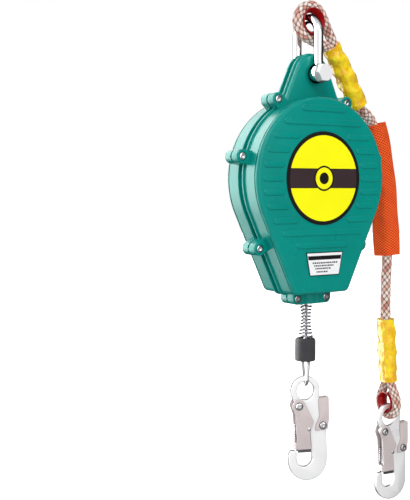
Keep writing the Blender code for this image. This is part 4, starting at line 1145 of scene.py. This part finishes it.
def snap_hook(prefix):
    origin, yaw = HOOKS[prefix]
    place = Matrix.Translation(origin) @ Matrix.Rotation(yaw, 4, "Z")
    snap = f"{prefix}_snap"

    def hang(obj, slot, body, *nodes):
        obj.data.transform(place)
        show(obj, slot, f"{prefix}_{body}", *(f"{prefix}_hook_{each}" for each in nodes))

    plate = prism(snap, hook_outline(), -HOOK_HALF, HOOK_HALF, [circle(HOOK_EYE_RADIUS, 64, HOOK_EYE)])
    bevel_rim(plate, [-HOOK_HALF, HOOK_HALF], 0.0014, 4)
    for x, z in (GATE_PIVOT, LEVER_PIVOT):
        drill(plate, x, z, -0.01, 0.01, RIVET_HOLE, 32)
    hang(plate, "zinc_forging", "hook", "body")

    web = rounded([(-0.0132, -0.0795), (-0.0132, -0.0872), (-0.0086, -0.0872), (-0.0086, -0.0795)], 0.0006)
    gate = folded_plate(f"{snap}_gate", gate_outline(), web, GATE_NEAR, GATE_FAR, GATE_PIVOT)
    hang(gate, "zinc_plate", "gate", "gate")
    web = rounded([(0.0284, -0.0236), (0.0297, -0.0234), (0.0302, -0.044), (0.0289, -0.044)], 0.0004)
    lever = folded_plate(f"{snap}_lever", lever_outline(), web, LEVER_NEAR, LEVER_FAR, LEVER_PIVOT)
    hang(lever, "zinc_plate", "lever", "lever")

    low, edge, high = GATE_FAR + SHIM, GATE_FAR + 0.0004, GATE_FAR + 0.0008
    dome = [(0.0, low), (0.0022, low), (0.0022, edge), (0.0014, high), (0.0, high)]
    hang(gather(*on_cheeks(f"{snap}_link_rivet", dome, LINK_RIVET, 28)), "bright_steel", "gate")
    washers = []
    for pivot, face in ((GATE_PIVOT, GATE_FAR), (LEVER_PIVOT, LEVER_FAR)):
        ring = box_profile(0.0032, 0.005, face + SHIM, face + 0.0004)
        washers += on_cheeks(f"{snap}_washers", ring, pivot, 36)
    hang(gather(*washers), "dark_steel", "hook")

    # A thin dark bar between the cheeks and dark strips below them stand for the gate's hollow inside: painted
    # shade.
    far = GATE_NEAR + 0.0002
    channel = rounded([(-0.0094, -0.0445), (-0.0086, -0.0445), (-0.0078, -0.08), (-0.0086, -0.08)], 0.0003)
    foot = rounded([(-0.0098, -0.0915), (0.0066, -0.0915), (0.0064, -0.086), (-0.0102, -0.086)], 0.0008)
    shade_feet = [prism("foot", foot, side * 0.0034, side * far) for side in (-1, 1)]
    hang(gather(prism(f"{snap}_gate_channel", channel, -far, far), *shade_feet), "dark_steel", "gate")
    for part, pivot, half_length in (("gate", GATE_PIVOT, 0.0079), ("lever", LEVER_PIVOT, 0.0062)):
        rivet = domed_rivet(f"{snap}_{part}_rivet", pivot, half_length)
        hang(rivet, "bright_steel", "hook", f"{part}_rivet")
    spring = tube(f"{snap}_spring", coil((-0.0108, 0, -0.056), 0.018, lambda t: 0.0026, 7, 24), 0.0005, 3)
    hang(spring, "spring_steel", "gate", "gate_spring")


# Cable end


CABLE_RADIUS = 0.0025


def cable_end():
    low, high = node_box("cable_tail")
    top, end = Vector((0, 0, high.z)), Vector((0, 0, low.z))
    tail = stranded("line_cable", [top, top.lerp(end, 0.5), end], CABLE_RADIUS, step=0.00045)
    low, high = node_box("ferrule_sleeve")
    show_across(tail, "wire_rope", ("housing", "line_end"), top, Vector((0, 0, high.z)), "cable_tail")

    radius, hole, core = (high.x - low.x) / 2, 0.0065, 0.0028
    shoulder = arc((radius - 0.0035, high.z - 0.0035), 0.0035, 90, 0, 10)
    foot = arc((radius - 0.0012, low.z + 0.0012), 0.0012, 0, -90, 5)
    mouth = [(hole + 0.0008, low.z), (hole, low.z + 0.0008), (hole, high.z - 0.0008), (hole + 0.0008, high.z)]
    boot = turned("ferrule_boot", shoulder + foot + mouth, XY_PLANE, 96)
    show(boot, "black_rubber", "line_end", "ferrule_sleeve")
    wall = box_profile(core, hole - 0.0001, low.z + 0.0015, high.z - 0.002)
    show(turned("crimped_ferrule", wall, XY_PLANE, 64), "cast_aluminium", "line_end")

    low, high = node_box("buffer_spring")
    wire, waist, wide, foot_wide = 0.0009, 0.0056, 0.01, 0.0085

    def spring_radius(t):
        upper, lower = max(0.0, 1 - t / 0.55), max(0.0, (t - 0.55) / 0.45)
        return waist + (wide - waist) * upper**1.5 + (foot_wide - waist) * lower**2

    line = coil((0, 0, high.z - wire), high.z - low.z - 2 * wire, spring_radius, 13, 40)
    show(tube("taper_spring", line, wire * 1.15), "spring_steel", "line_end", "buffer_spring")

    # The loop hangs across the hook's ring, and its legs turn towards the photograph's side as they close.
    origin, yaw = HOOKS["cable"]
    back = Vector((-sin(yaw), cos(yaw), 0))
    turned_back = Matrix.Rotation(radians(45), 3, "Z") @ back
    leg, start = 0.0028, Vector((0, 0, -0.2))
    loop = [origin + back * a + Vector((0, 0, b)) for a, b in arc((0, 0), 0.0067, 168, 372, 24)]
    legs = []
    for side in (-1, 1):
        spread = ((back, 0.9, 0.0), (turned_back, 1.0, 0.012), (turned_back, 1.5, 0.022))
        legs.append([start + way * leg * reach * side - Vector((0, 0, drop)) for way, reach, drop in spread])
    path = [*legs[0], *loop, *legs[1][::-1]]
    cable = stranded("cable_loop", path, CABLE_RADIUS, back.cross(Vector((0, 0, 1))))
    show(cable, "wire_rope", "line_end", "cable_eye")


# Build


housing()
decal()
label()
shackle()
lanyard()
cable_end()
snap_hook("cable")
snap_hook("lanyard")

for part in frame["record"]["subparts"]:
    shown = frame["nodes"][part["node"]]
    if not shown.hide_render:
        wound = part["node"] in ("wound_cable", "cable_inner_run")
        for slot in shown.material_slots:
            slot.material = LOOKS["wound_wire_rope" if wound else part["material_slot"]]


# Stage


CAMERA_PLACE = (-0.6857, -0.8539 + PLANE, -0.0101)
CAMERA_DOWN, CAMERA_YAW = radians(4.04), radians(-32.294)
LENS, SENSOR = 64.3, 36.0
FLOOR_RADIUS, FLOOR_DROP = 14.0, 0.03
FLOOR_NEAR, FLOOR_FAR = (0.6, 0.42), (2.4, 1.0)
LIGHTS = {
    # name: place, size, power
    "key": ((-1.1, -1.5, 1.5), 1.1, 19),
    "fill": ((0.3, -2.1, 0.5), 1.3, 8),
    "back": ((0.9, 1.9, 0.9), 1.1, 9),
}
# Reflected walls: grey from behind the object, at 0, round to the camera's side, at 1.
WALLS = ((0.0, 0.02), (0.12, 0.02), (0.22, 0.6), (0.55, 0.6), (0.8, 0.8), (1.0, 0.95))
CAMERA_SIDE, GLOW_SIDE, DARK_SIDE = (-0.622, -0.782, 0.0), (-0.56, 0.8, 0.2), (0.74, -0.67, 0.0)
LEFT, UP = (-1, 0, 0), (0, 0, 1)
GLOW = 12.0


def light_path(tree, ray):
    return node(tree, "ShaderNodeLightPath").outputs[f"Is {ray} Ray"]


def grey_of(tree, value):
    return node(tree, "ShaderNodeCombineColor", {0: value, 1: value, 2: value}).outputs[0]


def studio_world():
    """White to the camera. Reflections see grey walls, darker behind, below and on one side, and a glow."""
    world = bpy.data.worlds.new("studio")
    world.use_nodes = True
    tree = world.node_tree
    direction = node(tree, "ShaderNodeTexCoord").outputs["Generated"]

    def facing(side, *values):
        made = node(tree, "ShaderNodeVectorMath", {0: direction, 1: side}, operation="DOT_PRODUCT")
        return ramp(tree, made.outputs["Value"], *values)

    walls = node(tree, "ShaderNodeValToRGB", {0: facing(CAMERA_SIDE, -1.0, 1.0)})
    elements = walls.color_ramp.elements
    while len(elements) < len(WALLS):
        elements.new(0.5)
    for element, (place, grey) in zip(elements, WALLS):
        element.position = place
        element.color = (grey, grey, grey * 1.01, 1.0)
    below, aside = facing(UP, -0.75, -0.15, 0.22, 1.0), facing(DARK_SIDE, 0.78, 0.92, 1.0, 0.1)
    dark = grey_of(tree, maths(tree, "MULTIPLY", below, aside))
    shade = mixed(tree, 1.0, walls.outputs[0], dark, "MULTIPLY")
    seen = maths(tree, "MAXIMUM", facing(LEFT, 0.12, 0.32), facing(UP, 0.2, 0.5))
    glow = maths(tree, "MULTIPLY", facing(GLOW_SIDE, 0.55, 0.95, 0.0, GLOW), seen)
    glow = maths(tree, "MULTIPLY", glow, light_path(tree, "Glossy"))
    lit = mixed(tree, 1.0, shade, grey_of(tree, glow), "ADD")
    colour = mixed(tree, light_path(tree, "Camera"), lit, (1.0, 1.0, 1.0))
    feed(tree, tree.nodes["Background"].inputs["Color"], colour)
    bpy.context.scene.world = world


def floor_white(tree):
    """Matt and pale, and white to the camera, fully so away from the object."""
    away = node(tree, "ShaderNodeVectorMath", {0: object_place(tree)}, operation="LENGTH").outputs["Value"]
    (near, dim), (far, full) = FLOOR_NEAR, FLOOR_FAR
    glow = mixed(tree, light_path(tree, "Camera"), (0.0, 0.0, 0.0), (1.0, 1.0, 1.0))
    extra = {"Emission Color": glow, "Emission Strength": ramp(tree, away, near, far, dim, full)}
    return (0.8, 0.8, 0.8), 0.9, None, extra


def stage():
    low, high = CAD_BOX
    middle = (low + high) / 2
    mesh = bpy.data.meshes.new("floor")
    with edited(mesh) as bm:
        bmesh.ops.create_circle(bm, cap_ends=True, segments=96, radius=FLOOR_RADIUS)
    mesh.materials.append(material("floor_white", floor_white))
    floor = helper("floor", mesh)
    joints = frame["record"]["behaviour"]["joints"]
    payout = next(j for j in joints if j["name"] == "line_payout")["range_m"][1]
    floor.location = (middle.x, middle.y, low.z - payout - FLOOR_DROP)
    floor.visible_glossy = False

    studio_world()
    for name, (place, size, power) in LIGHTS.items():
        data = bpy.data.lights.new(name, "AREA")
        data.shape = "DISK"
        data.size = size
        data.energy = power
        light = helper(name, data)
        light.location = place
        light.rotation_euler = (middle - Vector(place)).to_track_quat("-Z", "Y").to_euler()
    bpy.context.scene.view_settings.view_transform = "Standard"


def camera():
    data = bpy.data.cameras.new("camera")
    data.sensor_width = SENSOR
    data.lens = LENS
    made = helper("camera", data)
    made.location = CAMERA_PLACE
    made.rotation_euler = (pi / 2 - CAMERA_DOWN, 0.0, CAMERA_YAW)
    bpy.context.scene.camera = made


stage()
camera()
